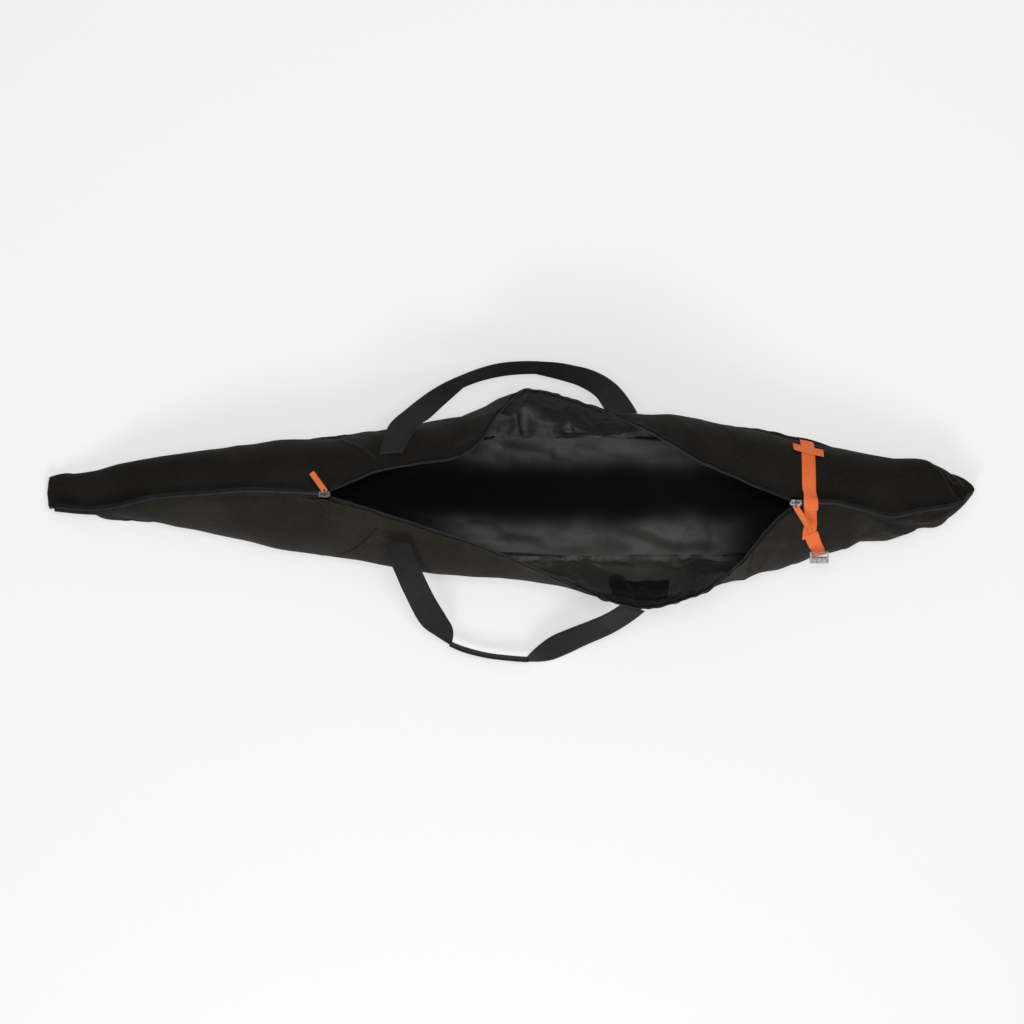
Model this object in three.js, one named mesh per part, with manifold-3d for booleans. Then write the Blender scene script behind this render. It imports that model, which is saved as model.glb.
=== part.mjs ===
// A long padded ski bag lying on its base, with the top zip open between its two sliders.
// Millimetres. +X runs along the bag, +Y to its far side, +Z up. The origin is on the floor,
// under the middle of the bag.
import * as THREE from "three";
import { mergeVertices } from "three/addons/utils/BufferGeometryUtils.js";
import Module from "manifold-3d";

const wasm = await Module();
wasm.setup();

// ---- driving dimensions ----
const LEFT_END = -885;
const RIGHT_END = 880;
const LEFT_SLIDER = -355;
const RIGHT_SLIDER = 537;
const BASE_HALF = 112;
const SEAM_Z = 5;
const RIDGE = 140;
const GAP = 0.4;

const SKIN = 1.6;
const PAD = 6;
const LINING = 1.2;
const SLIDER_REACH = 13;
const LAYER_GAP = 2.6;
const TAPE = 1.2;
const TAPE_WIDTH = 16;
const COIL_WIDTH = 5;
const COIL_HEIGHT = 2.6;

const WEBBING = 50;
const WEBBING_THICK = 2.4;
const GRIP_THICK = 5.8;
const STRAP = 27;
const STRAP_THICK = 1.8;
const STRAP_X = 566;

// The walls turn about the base seams. Each side's mouth is three lengths that turn together.
const FAR_SPLITS = [LEFT_SLIDER, -97, 25, RIGHT_SLIDER];
const NEAR_SPLITS = [LEFT_SLIDER, -40, 293, RIGHT_SLIDER];

// ---- curves along the bag: [x, value] stations with a smooth line through them ----
const FAR_HALF = [
  [LEFT_END, 38], [-796, 57], [-682, 80], [-568, 95], [-397, 114], [-270, 114], [-141, 124],
  [-60, 134], [34, 103], [150, 90], [243, 110], [330, 126], [430, 122], [543, 111], [657, 90],
  [743, 75], [800, 67], [845, 45], [RIGHT_END, 22],
];
const NEAR_HALF = [
  [LEFT_END, 24], [-796, 36], [-682, 57], [-568, 77], [-397, 112], [-250, 124], [-141, 130],
  [34, 120], [150, 104], [243, 98], [340, 98], [430, 118], [490, 132], [543, 132], [580, 114],
  [657, 98], [720, 84], [771, 67], [828, 50], [857, 27], [RIGHT_END, -3],
];
const FAR_BASE = [
  [LEFT_END, 30], [-682, 62], [-397, 106], [-355, BASE_HALF], [RIGHT_SLIDER, BASE_HALF],
  [657, 78], [743, 60], [828, 42], [RIGHT_END, 18],
];
const NEAR_BASE = [
  [LEFT_END, 18], [-682, 44], [-397, 104], [-355, BASE_HALF], [RIGHT_SLIDER, BASE_HALF],
  [657, 80], [743, 60], [828, 38], [857, 22], [RIGHT_END, -3],
];
const RIDGE_HEIGHT = [
  [LEFT_END, 28], [-796, 60], [-682, 96], [-568, 122], [-397, 138], [-300, RIDGE],
  [RIGHT_SLIDER, RIDGE], [657, 128], [743, 106], [828, 74], [RIGHT_END, 38],
];
const ZIP_Y = [
  [LEFT_END, -20], [-800, -27], [-741, -19], [-684, -5], [-568, 4], [-500, 9], [LEFT_SLIDER, 4],
  [RIGHT_SLIDER, -13], [600, -14], [661, -26], [720, -40], [780, -29], [834, -21], [RIGHT_END, 12],
];
// how far each wall is folded outwards from shut, in degrees
const FAR_OPEN = [
  [LEFT_SLIDER, 0], [-245, 18.5], [-97, 28], [-60, 37], [-20, 57], [34, 71.5], [112, 65],
  [230, 49], [274, 42], [350, 28], [426, 17], [485, 8], [RIGHT_SLIDER, 0],
];
const NEAR_OPEN = [
  [LEFT_SLIDER, 0], [-272, 10], [-163, 22], [-53, 34], [74, 51], [194, 70],
  [243, 74.4], [342, 65.5], [426, 43], [488, 16.5], [RIGHT_SLIDER, 0],
];

function along(stations, x) {
  const last = stations.length - 1;
  if (x <= stations[0][0]) return stations[0][1];
  if (x >= stations[last][0]) return stations[last][1];
  let i = 0;
  while (x > stations[i + 1][0]) i += 1;
  const [x0, y0] = stations[i];
  const [x1, y1] = stations[i + 1];
  const slope = (a, b) => (stations[b][1] - stations[a][1]) / (stations[b][0] - stations[a][0]);
  const here = slope(i, i + 1);
  const limited = (other) => (other * here <= 0 ? 0 : (2 * other * here) / (other + here));
  const m0 = i > 0 ? limited(slope(i - 1, i)) : here;
  const m1 = i + 1 < last ? limited(slope(i + 1, i + 2)) : here;
  const w = x1 - x0;
  const t = (x - x0) / w;
  const rise = t * t * (3 - 2 * t);
  const lead = t * (1 - t) * (1 - t) * w;
  const trail = t * t * (t - 1) * w;
  return y0 + (y1 - y0) * rise + m0 * lead + m1 * trail;
}

const SIDES = {
  far: { sign: 1, half: FAR_HALF, base: FAR_BASE, open: FAR_OPEN, splits: FAR_SPLITS },
  near: { sign: -1, half: NEAR_HALF, base: NEAR_BASE, open: NEAR_OPEN, splits: NEAR_SPLITS },
};

// The wall's section is a cubic curve. Its shoulder is set out so that the curve's widest place
// comes to the half width: there the seam counts for SEAM_SHARE and the shoulder for the other.
const SEAM_SHARE = 0.42;
const SHOULDER_SHARE = 0.506;
const SHOULDER_HEIGHT = 0.52;
const CREST_REACH = 0.6;

// One wall's outer face. v runs from the base seam, 0, up and over to the zip, 1.
function wallPoint(side, x, v) {
  const seam = along(side.base, x);
  const half = along(side.half, x);
  const top = along(RIDGE_HEIGHT, x);
  const shoulder = (half - SEAM_SHARE * seam) / SHOULDER_SHARE;
  const section = new THREE.CubicBezierCurve(
    new THREE.Vector2(seam, SEAM_Z),
    new THREE.Vector2(shoulder, SEAM_Z + SHOULDER_HEIGHT * (top - SEAM_Z)),
    new THREE.Vector2(CREST_REACH * shoulder, top),
    new THREE.Vector2(side.sign * along(ZIP_Y, x), top),
  );
  const p = section.getPoint(v);
  const turn = THREE.MathUtils.degToRad(along(side.open, x));
  p.rotateAround(new THREE.Vector2(seam, SEAM_Z), -turn);
  return new THREE.Vector3(x, side.sign * p.x, p.y);
}

const wallSurface = (side, xStart, xEnd, vStart, vEnd) => (u, v) =>
  wallPoint(side, THREE.MathUtils.lerp(xStart, xEnd, u), THREE.MathUtils.lerp(vStart, vEnd, v));

// ---- sheets ----
// A box whose grid is laid on a surface: u and v place it, and its third direction is the
// thickness, between inner and outer along the surface's upward or outward normal.
function sheet(surface, inner, outer, uSteps, vSteps) {
  const geometry = new THREE.BoxGeometry(1, 1, 1, uSteps, vSteps, 1);
  const position = geometry.attributes.position;
  const step = 1e-3;
  for (let i = 0; i < position.count; i += 1) {
    const u = position.getX(i) + 0.5;
    const v = position.getY(i) + 0.5;
    const w = position.getZ(i) + 0.5;
    const du = surface(u + step, v).sub(surface(u - step, v));
    const dv = surface(u, v + step).sub(surface(u, v - step));
    const normal = du.cross(dv).normalize();
    const p = surface(u, v).addScaledVector(normal, THREE.MathUtils.lerp(inner, outer, w));
    position.setXYZ(i, p.x, p.y, p.z);
  }
  // The box's two broad faces are split along crossing diagonals. With the back face split the
  // same way as the front, a thin sheet that twists doesn't pass through itself.
  const index = geometry.index;
  const back = geometry.groups[5];
  for (let k = back.start; k < back.start + back.count; k += 6) {
    const [a, b, d, c] = [k, k + 1, k + 2, k + 4].map((at) => index.getX(at));
    [a, b, c, a, c, d].forEach((corner, n) => index.setX(k + n, corner));
  }
  geometry.computeVertexNormals();
  return geometry;
}

// A wall sheet lies between two depths below the outer face, which is depth 0.
function wallSheet(side, xStart, xEnd, vStart, vEnd, depth, thickness, steps) {
  const [uSteps, vSteps] = steps;
  // the far wall's grid runs backwards, so that its normal also faces out of the bag
  const ends = side.sign > 0 ? [xEnd, xStart] : [xStart, xEnd];
  const surface = wallSurface(side, ends[0], ends[1], vStart, vEnd);
  return sheet(surface, -depth - thickness, -depth, uSteps, vSteps);
}

// A flat band along a curve. across gives its width direction at a share of the way along.
function band(curve, across, width, thickness, steps, from = 0, to = 1) {
  const surface = (u, v) => {
    const t = THREE.MathUtils.clamp(THREE.MathUtils.lerp(from, to, v), 0, 1);
    return curve.getPoint(t).addScaledVector(across(t), (u - 0.5) * width);
  };
  return sheet(surface, -thickness / 2, thickness / 2, 2, steps);
}

// ---- joins and cuts ----
function solid(geometry) {
  const bare = geometry.clone();
  bare.deleteAttribute("normal");
  bare.deleteAttribute("uv");
  const merged = mergeVertices(bare, 1e-4);
  const triVerts = new Uint32Array(merged.index.array);
  const vertProperties = new Float32Array(merged.attributes.position.array);
  return new wasm.Manifold(new wasm.Mesh({ numProp: 3, vertProperties, triVerts }));
}

function fromSolid(made) {
  const mesh = made.getMesh();
  const geometry = new THREE.BufferGeometry();
  geometry.setAttribute("position", new THREE.BufferAttribute(mesh.vertProperties, 3));
  geometry.setIndex(new THREE.BufferAttribute(mesh.triVerts, 1));
  geometry.computeVertexNormals();
  return geometry;
}

// ---- materials ----
const cloth = (color) => new THREE.MeshStandardMaterial({ color, roughness: 0.9, metalness: 0 });
const materials = {
  shell: () => cloth("#1b1a1b"),
  lining: () => cloth("#34343a"),
  foam: () => cloth("#2a2a2c"),
  webbing: () => cloth("#151516"),
  zip: () => cloth("#101012"),
  orange: () => cloth("#e4572a"),
  steel: () => new THREE.MeshStandardMaterial({ color: "#a9abaf", roughness: 0.35, metalness: 1 }),
};

const bag = new THREE.Group();

function add(name, geometry, material, parent = bag) {
  const mesh = new THREE.Mesh(geometry, materials[material]());
  mesh.name = name;
  parent.add(mesh);
  return mesh;
}

// ---- base ----
function baseOutline(inset) {
  const stations = 26;
  const points = [];
  for (let i = 0; i <= stations; i += 1) {
    const x = THREE.MathUtils.lerp(LEFT_END + inset, RIGHT_END - inset, i / stations);
    points.push(new THREE.Vector2(x, inset - along(NEAR_BASE, x)));
  }
  for (let i = stations; i >= 0; i -= 1) {
    const x = THREE.MathUtils.lerp(LEFT_END + inset, RIGHT_END - inset, i / stations);
    points.push(new THREE.Vector2(x, along(FAR_BASE, x) - inset));
  }
  return new THREE.Shape(points);
}

function slab(shape, thickness) {
  return new THREE.ExtrudeGeometry(shape, { depth: thickness, bevelEnabled: false });
}

const BASE_THICK = 2.4;
add("base_panel", slab(baseOutline(2), BASE_THICK), "shell");
const baseFoam = add("base_foam", slab(baseOutline(26), 4), "foam");
baseFoam.position.z = BASE_THICK + GAP;

// ---- closed lengths, left and right of the opening ----
const SKIN_FOOT = 0.03;
const SHUT_WALL = 4.6;
for (const [name, side] of Object.entries(SIDES)) {
  const wall = (x0, x1, steps) => wallSheet(side, x0, x1, SKIN_FOOT, 0.97, 0, SHUT_WALL, [steps, 8]);
  add(`${name}_wall_left`, wall(LEFT_END, LEFT_SLIDER - GAP, 22), "shell");
  add(`${name}_wall_right`, wall(RIGHT_SLIDER + GAP, RIGHT_END, 18), "shell");
}

// ---- the mouth: outer skin, foam and lining of each wall, in three lengths a side ----
const LENGTHS = ["left", "peak", "right"];
const SKIN_TOP = 0.95;
const STEP_LENGTH = 27;
for (const [name, side] of Object.entries(SIDES)) {
  LENGTHS.forEach((length, i) => {
    const x0 = side.splits[i] + GAP;
    const x1 = side.splits[i + 1] - GAP;
    const steps = Math.max(6, Math.ceil((x1 - x0) / STEP_LENGTH));
    const foamEnds = 18;
    const foamDepth = SKIN + LAYER_GAP;
    const liningDepth = SKIN + PAD + 2 * LAYER_GAP;
    const tapeStart = Math.max(x0, LEFT_SLIDER + SLIDER_REACH);
    const tapeEnd = Math.min(x1, RIGHT_SLIDER - SLIDER_REACH);
    const skin = wallSheet(side, x0, x1, SKIN_FOOT, SKIN_TOP, 0, SKIN, [steps, 8]);
    const foam = wallSheet(
      side, x0 + foamEnds, x1 - foamEnds, 0.08, 0.45, foamDepth, PAD, [steps, 5],
    );
    const lining = wallSheet(side, x0, x1, 0.06, SKIN_TOP, liningDepth, LINING, [steps, 8]);
    const tape = wallSheet(
      side, tapeStart, tapeEnd, SKIN_TOP + 0.006, 1, SKIN / 2, TAPE, [steps, 1],
    );
    add(`${name}_mouth_skin_${length}`, skin, "shell");
    add(`${name}_mouth_foam_${length}`, foam, "foam");
    add(`${name}_mouth_lining_${length}`, lining, "lining");
    add(`${name}_zip_tape_${length}`, tape, "zip");
  });
}

// ---- the shut zip at each end ----
function zipLine(x, lift) {
  return new THREE.Vector3(x, along(ZIP_Y, x), along(RIDGE_HEIGHT, x) + lift);
}

function zipStrip(xStart, xEnd, width, lift, thickness, steps) {
  const surface = (u, v) => {
    const p = zipLine(THREE.MathUtils.lerp(xStart, xEnd, u), lift);
    p.y += (v - 0.5) * width;
    return p;
  };
  return sheet(surface, 0, thickness, steps, 1);
}

const ZIP_ENDS = 24;
const lengthsShut = {
  left: [LEFT_END + ZIP_ENDS, LEFT_SLIDER - SLIDER_REACH],
  right: [RIGHT_SLIDER + SLIDER_REACH, RIGHT_END - ZIP_ENDS],
};
const ZIP_LIFT = 1.2;
const coilLift = ZIP_LIFT + TAPE + GAP;
for (const [name, [x0, x1]] of Object.entries(lengthsShut)) {
  add(`zip_tape_shut_${name}`, zipStrip(x0, x1, TAPE_WIDTH, ZIP_LIFT, TAPE, 24), "zip");
  add(`zip_coil_shut_${name}`, zipStrip(x0, x1, COIL_WIDTH, coilLift, COIL_HEIGHT, 24), "zip");
}

// ---- end panels ----
function endPanel(x) {
  const rim = 7;
  const points = [];
  for (const side of [SIDES.near, SIDES.far]) {
    for (let i = 0; i <= rim; i += 1) {
      const v = side.sign < 0 ? i / rim : 1 - i / rim;
      const p = wallPoint(side, x, v);
      points.push(new THREE.Vector2(p.y, p.z));
    }
  }
  // the two walls share their point at the zip
  points.splice(rim + 1, 1);
  return slab(new THREE.Shape(points), 3);
}

function addEnd(name, x, place) {
  const panel = add(name, endPanel(x), "shell");
  // the outline's own x and y are the bag's Y and Z, and it is as thick along X
  const [X, Y, Z] = [new THREE.Vector3(1, 0, 0), new THREE.Vector3(0, 1, 0), new THREE.Vector3(0, 0, 1)];
  panel.quaternion.setFromRotationMatrix(new THREE.Matrix4().makeBasis(Y, Z, X));
  panel.position.x = place;
}
addEnd("left_end_panel", LEFT_END, LEFT_END - 3 - GAP);
addEnd("right_end_panel", RIGHT_END, RIGHT_END + GAP);

// ---- folded tail: the spare length turned over on itself at the right end ----
const tailSurface = (u, v) => {
  const x = THREE.MathUtils.lerp(862, 700, u);
  const p = v < 0.5 ? wallPoint(SIDES.near, x, 0.62 + 0.76 * v) : wallPoint(SIDES.far, x, 1.38 - 0.76 * v);
  p.z += 7;
  return p;
};
add("tail_fold", sheet((u, v) => tailSurface(1 - u, v), 0, 3, 8, 10), "shell");

// ---- sliders and pulls ----
const SLIDER_LENGTH = 22;
const SLIDER_WIDTH = 13;
const SLIDER_HEIGHT = 8;
const CROWN_RISE = 4.6;
const CROWN_WIRE = 1.1;
const RING_RADIUS = 5;
const RING_WIRE = 0.9;
const PULL_THICK = 2;

function sliderBody() {
  const nose = SLIDER_LENGTH / 2;
  const outline = new THREE.Shape();
  outline.moveTo(-nose, -SLIDER_WIDTH / 2 + 3);
  outline.quadraticCurveTo(-nose, -SLIDER_WIDTH / 2 + 1, -nose + 3, -SLIDER_WIDTH / 2 + 1);
  outline.lineTo(2, -SLIDER_WIDTH / 2);
  outline.quadraticCurveTo(nose, -SLIDER_WIDTH / 2, nose, 0);
  outline.quadraticCurveTo(nose, SLIDER_WIDTH / 2, 2, SLIDER_WIDTH / 2);
  outline.lineTo(-nose + 3, SLIDER_WIDTH / 2 - 1);
  outline.quadraticCurveTo(-nose, SLIDER_WIDTH / 2 - 1, -nose, SLIDER_WIDTH / 2 - 3);
  outline.closePath();
  const body = new THREE.ExtrudeGeometry(outline, {
    depth: SLIDER_HEIGHT, bevelEnabled: false, curveSegments: 4,
  });
  const slot = new THREE.BoxGeometry(SLIDER_LENGTH + 2, SLIDER_WIDTH, 3);
  slot.translate(0, 0, SLIDER_HEIGHT / 2);
  const post = new THREE.BoxGeometry(9, 3.4, SLIDER_HEIGHT);
  post.translate(nose - 6, 0, SLIDER_HEIGHT / 2);
  const bridge = new THREE.TorusGeometry(CROWN_RISE, CROWN_WIRE, 6, 14);
  bridge.rotateX(Math.PI / 2);
  bridge.scale(1.5, 1, 1);
  bridge.translate(0, 0, SLIDER_HEIGHT);
  return fromSolid(solid(body).subtract(solid(slot)).add(solid(post)).add(solid(bridge)));
}

// The ring hangs on the crown and leans to +Y. It stands square to the slider's length.
const RING_AT = new THREE.Vector3(0, 2.2, SLIDER_HEIGHT + 6.3);
function pullRing() {
  const ring = new THREE.TorusGeometry(RING_RADIUS, RING_WIRE, 6, 16);
  ring.rotateY(Math.PI / 2);
  ring.translate(RING_AT.x, RING_AT.y, RING_AT.z);
  return ring;
}

// A stitched tab with an eye at its root, where the ring passes through.
function pullTab(length, heading, droop) {
  const half = 5.5;
  const root = -3;
  const corner = 3;
  const outline = new THREE.Shape();
  outline.moveTo(root, -half + 1);
  outline.lineTo(root + 1, -half);
  outline.lineTo(length - corner, -half);
  outline.quadraticCurveTo(length, -half, length, -half + corner);
  outline.lineTo(length, half - corner);
  outline.quadraticCurveTo(length, half, length - corner, half);
  outline.lineTo(root + 1, half);
  outline.lineTo(root, half - 1);
  outline.closePath();
  const eye = new THREE.Path();
  eye.absarc(0, 0, 2, 0, 2 * Math.PI);
  outline.holes.push(eye);
  const geometry = new THREE.ExtrudeGeometry(outline, {
    depth: PULL_THICK, bevelEnabled: false, curveSegments: 5,
  });
  geometry.translate(0, 0, -PULL_THICK / 2);
  geometry.rotateY(droop);
  geometry.rotateZ(heading);
  geometry.translate(RING_AT.x, RING_AT.y + RING_RADIUS, RING_AT.z);
  return geometry;
}

// turn is the slider's own direction about Z: 0 has its nose to +X and its pull to +Y.
function addSlider(name, x, turn, heading, droop, tabLength) {
  const group = new THREE.Group();
  group.position.copy(zipLine(x, GAP));
  group.rotation.z = turn;
  bag.add(group);
  add(`${name}_slider`, sliderBody(), "steel", group);
  add(`${name}_pull_ring`, pullRing(), "steel", group);
  add(`${name}_pull_tab`, pullTab(tabLength, heading, droop), "orange", group);
}
const degrees = THREE.MathUtils.degToRad;
addSlider("left", LEFT_SLIDER, 0, degrees(126), degrees(9), 42);
addSlider("right", RIGHT_SLIDER, Math.PI, degrees(122), degrees(12), 56);

// ---- carry handles: two sewn feet, two webbing legs and a doubled grip, each side ----
// A point on a wall, lifted off it towards the outside of the bag.
function offWall(side, x, v, lift) {
  const at = wallPoint(side, x, v);
  const upWall = wallPoint(side, x, v + 0.01).sub(at);
  const outward = new THREE.Vector3(-side.sign, 0, 0).cross(upWall).normalize();
  return at.addScaledVector(outward, lift);
}

const HANDLE_LIFT = 13;
const far = (x, v, lift = HANDLE_LIFT) => offWall(SIDES.far, x, v, lift);
const near = (x, v, lift = HANDLE_LIFT) => offWall(SIDES.near, x, v, lift);
// Each foot lies on the wall between two heights, and the run of the legs starts below it.
const HANDLES = {
  far: {
    feet: { left: [-229, 0.79, 0.9], right: [208, 0.87, 0.96] },
    run: new THREE.CatmullRomCurve3([
      far(-226, 0.76),
      far(-214, 0.64, 16),
      new THREE.Vector3(-178, 178, 128),
      new THREE.Vector3(-118, 209, 92),
      new THREE.Vector3(-23, 242, 66),
      new THREE.Vector3(63, 244, 56),
      new THREE.Vector3(148, 223, 88),
      new THREE.Vector3(192, 196, 136),
      far(206, 0.8, 26),
    ]),
  },
  near: {
    feet: { left: [-222, 0.75, 0.87], right: [228, 0.7, 0.8] },
    run: new THREE.CatmullRomCurve3([
      near(-218, 0.72),
      near(-210, 0.6, 16),
      new THREE.Vector3(-182, -190, 108),
      new THREE.Vector3(-146, -240, 56),
      new THREE.Vector3(-100, -292, 30),
      new THREE.Vector3(28, -314, 28),
      new THREE.Vector3(120, -272, 34),
      near(200, 0.5, 38),
      near(222, 0.66, 23),
    ]),
  },
};

// The width lies level and square to the run of the webbing.
function levelAcross(curve) {
  return (t) => {
    const run = curve.getTangent(t);
    return new THREE.Vector3(run.y, -run.x, 0).normalize();
  };
}

for (const [name, { feet, run }] of Object.entries(HANDLES)) {
  const across = levelAcross(run);
  const [gripStart, gripEnd] = [0.36, 0.64];
  const split = 0.004;
  const leg = (from, to) => band(run, across, WEBBING, WEBBING_THICK, 12, from, to);
  const grip = band(run, across, WEBBING / 2, GRIP_THICK, 10, gripStart + split, gripEnd);
  add(`${name}_handle_left_leg`, leg(0, gripStart), "webbing");
  add(`${name}_handle_grip`, grip, "webbing");
  add(`${name}_handle_right_leg`, leg(gripEnd + split, 1), "webbing");
  for (const [end, [x, low, high]] of Object.entries(feet)) {
    const [x0, x1] = [x - WEBBING / 2, x + WEBBING / 2];
    const foot = wallSheet(SIDES[name], x0, x1, low, high, -HANDLE_LIFT, WEBBING_THICK, [3, 3]);
    add(`${name}_handle_${end}_foot`, foot, "webbing");
  }
}

// ---- compression strap round the right end ----
const STRAP_LIFT = 6;
function strapPoint(u, v) {
  const x = STRAP_X + (u - 0.5) * STRAP;
  const turn = 0.62;
  if (v < turn) return wallPoint(SIDES.far, x, 0.1 + (0.9 * v) / turn);
  return wallPoint(SIDES.near, x, 1 - (0.3 * (v - turn)) / (1 - turn));
}
add("strap_band", sheet((u, v) => strapPoint(1 - u, v), STRAP_LIFT, STRAP_LIFT + STRAP_THICK, 2, 22), "orange");

// the last stretch slants from the hem down to the buckle
function slantPoint(u, v, start, end, shift) {
  const x = STRAP_X + shift + (u - 0.5) * STRAP;
  return wallPoint(SIDES.near, x, THREE.MathUtils.lerp(start, end, v));
}
const HEM = 0.69;
const slant = (u, v) => slantPoint(u, v, HEM, 0.515, 3 + 14 * v);
add("strap_slant", sheet((u, v) => slant(1 - u, v), STRAP_LIFT, STRAP_LIFT + STRAP_THICK, 2, 6), "orange");
const free = (u, v) => slantPoint(u, v, 0.36, 0.26, 20 + 3 * v);
add("strap_end", sheet((u, v) => free(1 - u, v), STRAP_LIFT, STRAP_LIFT + STRAP_THICK, 2, 4), "orange");

const KEEPER_LENGTH = 58;
const KEEPER_V = 0.47;
function keeperPoint(u, v) {
  const x = STRAP_X + (u - 0.5) * KEEPER_LENGTH;
  return wallPoint(SIDES.far, x, KEEPER_V + (v - 0.5) * 0.1);
}
const keeperLift = STRAP_LIFT + STRAP_THICK + GAP;
add("strap_keeper", sheet((u, v) => keeperPoint(1 - u, v), keeperLift, keeperLift + 2, 8, 2), "orange");

// ---- buckle: an open frame and its toothed cam bar ----
const BUCKLE_V = 0.43;
const BUCKLE_SHIFT = 18;
// it hangs off the wall by this much, its lower edge tipped outwards by this many degrees
const BUCKLE_STAND = 6;
const BUCKLE_TIP = 38;
function buckleGroup() {
  const at = wallPoint(SIDES.near, STRAP_X + BUCKLE_SHIFT, BUCKLE_V);
  const above = wallPoint(SIDES.near, STRAP_X + BUCKLE_SHIFT, BUCKLE_V + 0.02);
  const lengthwise = new THREE.Vector3(1, 0, 0);
  const upWall = above.sub(at).normalize();
  const offWall = new THREE.Vector3().crossVectors(lengthwise, upWall).normalize();
  const tip = -THREE.MathUtils.degToRad(BUCKLE_TIP);
  const up = upWall.clone().applyAxisAngle(lengthwise, tip);
  const out = offWall.clone().applyAxisAngle(lengthwise, tip);
  const group = new THREE.Group();
  const basis = new THREE.Matrix4().makeBasis(lengthwise, up, out);
  group.quaternion.setFromRotationMatrix(basis);
  group.position.copy(at).addScaledVector(offWall, STRAP_LIFT + STRAP_THICK + BUCKLE_STAND);
  return group;
}

const buckle = buckleGroup();
bag.add(buckle);
const FRAME_WIDE = 36;
const FRAME_TALL = 24;
const FRAME_RIM = 3.2;
const FRAME_THICK = 2.4;
function ringShape(wide, tall, rim, corner) {
  const rounded = (target, w, h, r) => {
    target.moveTo(-w + r, -h);
    target.lineTo(w - r, -h);
    target.absarc(w - r, -h + r, r, -Math.PI / 2, 0);
    target.lineTo(w, h - r);
    target.absarc(w - r, h - r, r, 0, Math.PI / 2);
    target.lineTo(-w + r, h);
    target.absarc(-w + r, h - r, r, Math.PI / 2, Math.PI);
    target.lineTo(-w, -h + r);
    target.absarc(-w + r, -h + r, r, Math.PI, 1.5 * Math.PI);
    return target;
  };
  const outer = rounded(new THREE.Shape(), wide / 2, tall / 2, corner);
  outer.holes.push(rounded(new THREE.Path(), wide / 2 - rim, tall / 2 - rim, corner / 2));
  return outer;
}
const frame = new THREE.ExtrudeGeometry(ringShape(FRAME_WIDE, FRAME_TALL, FRAME_RIM, 3), {
  depth: FRAME_THICK, bevelEnabled: false, curveSegments: 3,
});
add("buckle_frame", frame, "steel", buckle);
const camWide = FRAME_WIDE - 2 * FRAME_RIM - 2 * GAP;
const bar = new THREE.CylinderGeometry(2.2, 2.2, camWide, 12);
bar.rotateZ(Math.PI / 2);
bar.translate(0, -1, FRAME_THICK / 2);
const plate = new THREE.BoxGeometry(camWide, 9, 1.8);
plate.translate(0, -5.5, FRAME_THICK + 1);
const cam = fromSolid(solid(bar).add(solid(plate)));
add("buckle_cam", cam, "steel", buckle);

// ---- sewn pieces on the lining ----
const patchSide = SIDES.near;
add(
  "inner_patch",
  wallSheet(patchSide, 208, 286, 0.7, 0.9, SKIN + PAD + LINING + 3 * LAYER_GAP, 1.6, [5, 3]),
  "shell",
);

export default bag;
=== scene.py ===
"""Looks for a long padded ski bag that lies on its base with its top zip open between two sliders.

Lengths in the tables below are millimetres. Blender objects are in metres, in the CAD frame:
+X along the bag, +Y to its far side, +Z up.
"""

import math

import bpy
import numpy as np
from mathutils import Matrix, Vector


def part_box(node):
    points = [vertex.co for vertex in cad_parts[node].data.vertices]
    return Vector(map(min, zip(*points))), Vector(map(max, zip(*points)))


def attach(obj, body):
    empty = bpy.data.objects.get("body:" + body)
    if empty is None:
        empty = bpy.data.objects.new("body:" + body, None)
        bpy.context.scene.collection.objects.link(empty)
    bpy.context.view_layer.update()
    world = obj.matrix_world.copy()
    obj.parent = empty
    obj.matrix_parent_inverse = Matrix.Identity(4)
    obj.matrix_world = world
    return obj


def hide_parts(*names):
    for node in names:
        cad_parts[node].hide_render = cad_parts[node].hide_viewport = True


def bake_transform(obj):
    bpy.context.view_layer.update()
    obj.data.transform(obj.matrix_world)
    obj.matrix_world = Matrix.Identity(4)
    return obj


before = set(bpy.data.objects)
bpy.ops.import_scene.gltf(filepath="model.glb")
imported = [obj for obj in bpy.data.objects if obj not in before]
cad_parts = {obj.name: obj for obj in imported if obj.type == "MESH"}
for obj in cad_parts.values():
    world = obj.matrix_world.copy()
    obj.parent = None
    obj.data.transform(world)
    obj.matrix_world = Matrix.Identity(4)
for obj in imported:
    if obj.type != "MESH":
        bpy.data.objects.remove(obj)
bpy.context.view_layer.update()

MM = 0.001
LEFT_END, RIGHT_END = -885.0, 880.0
LEFT_SLIDER, RIGHT_SLIDER = -355.0, 537.0
SEAM_Z = 5.0
SEED = 7

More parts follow.
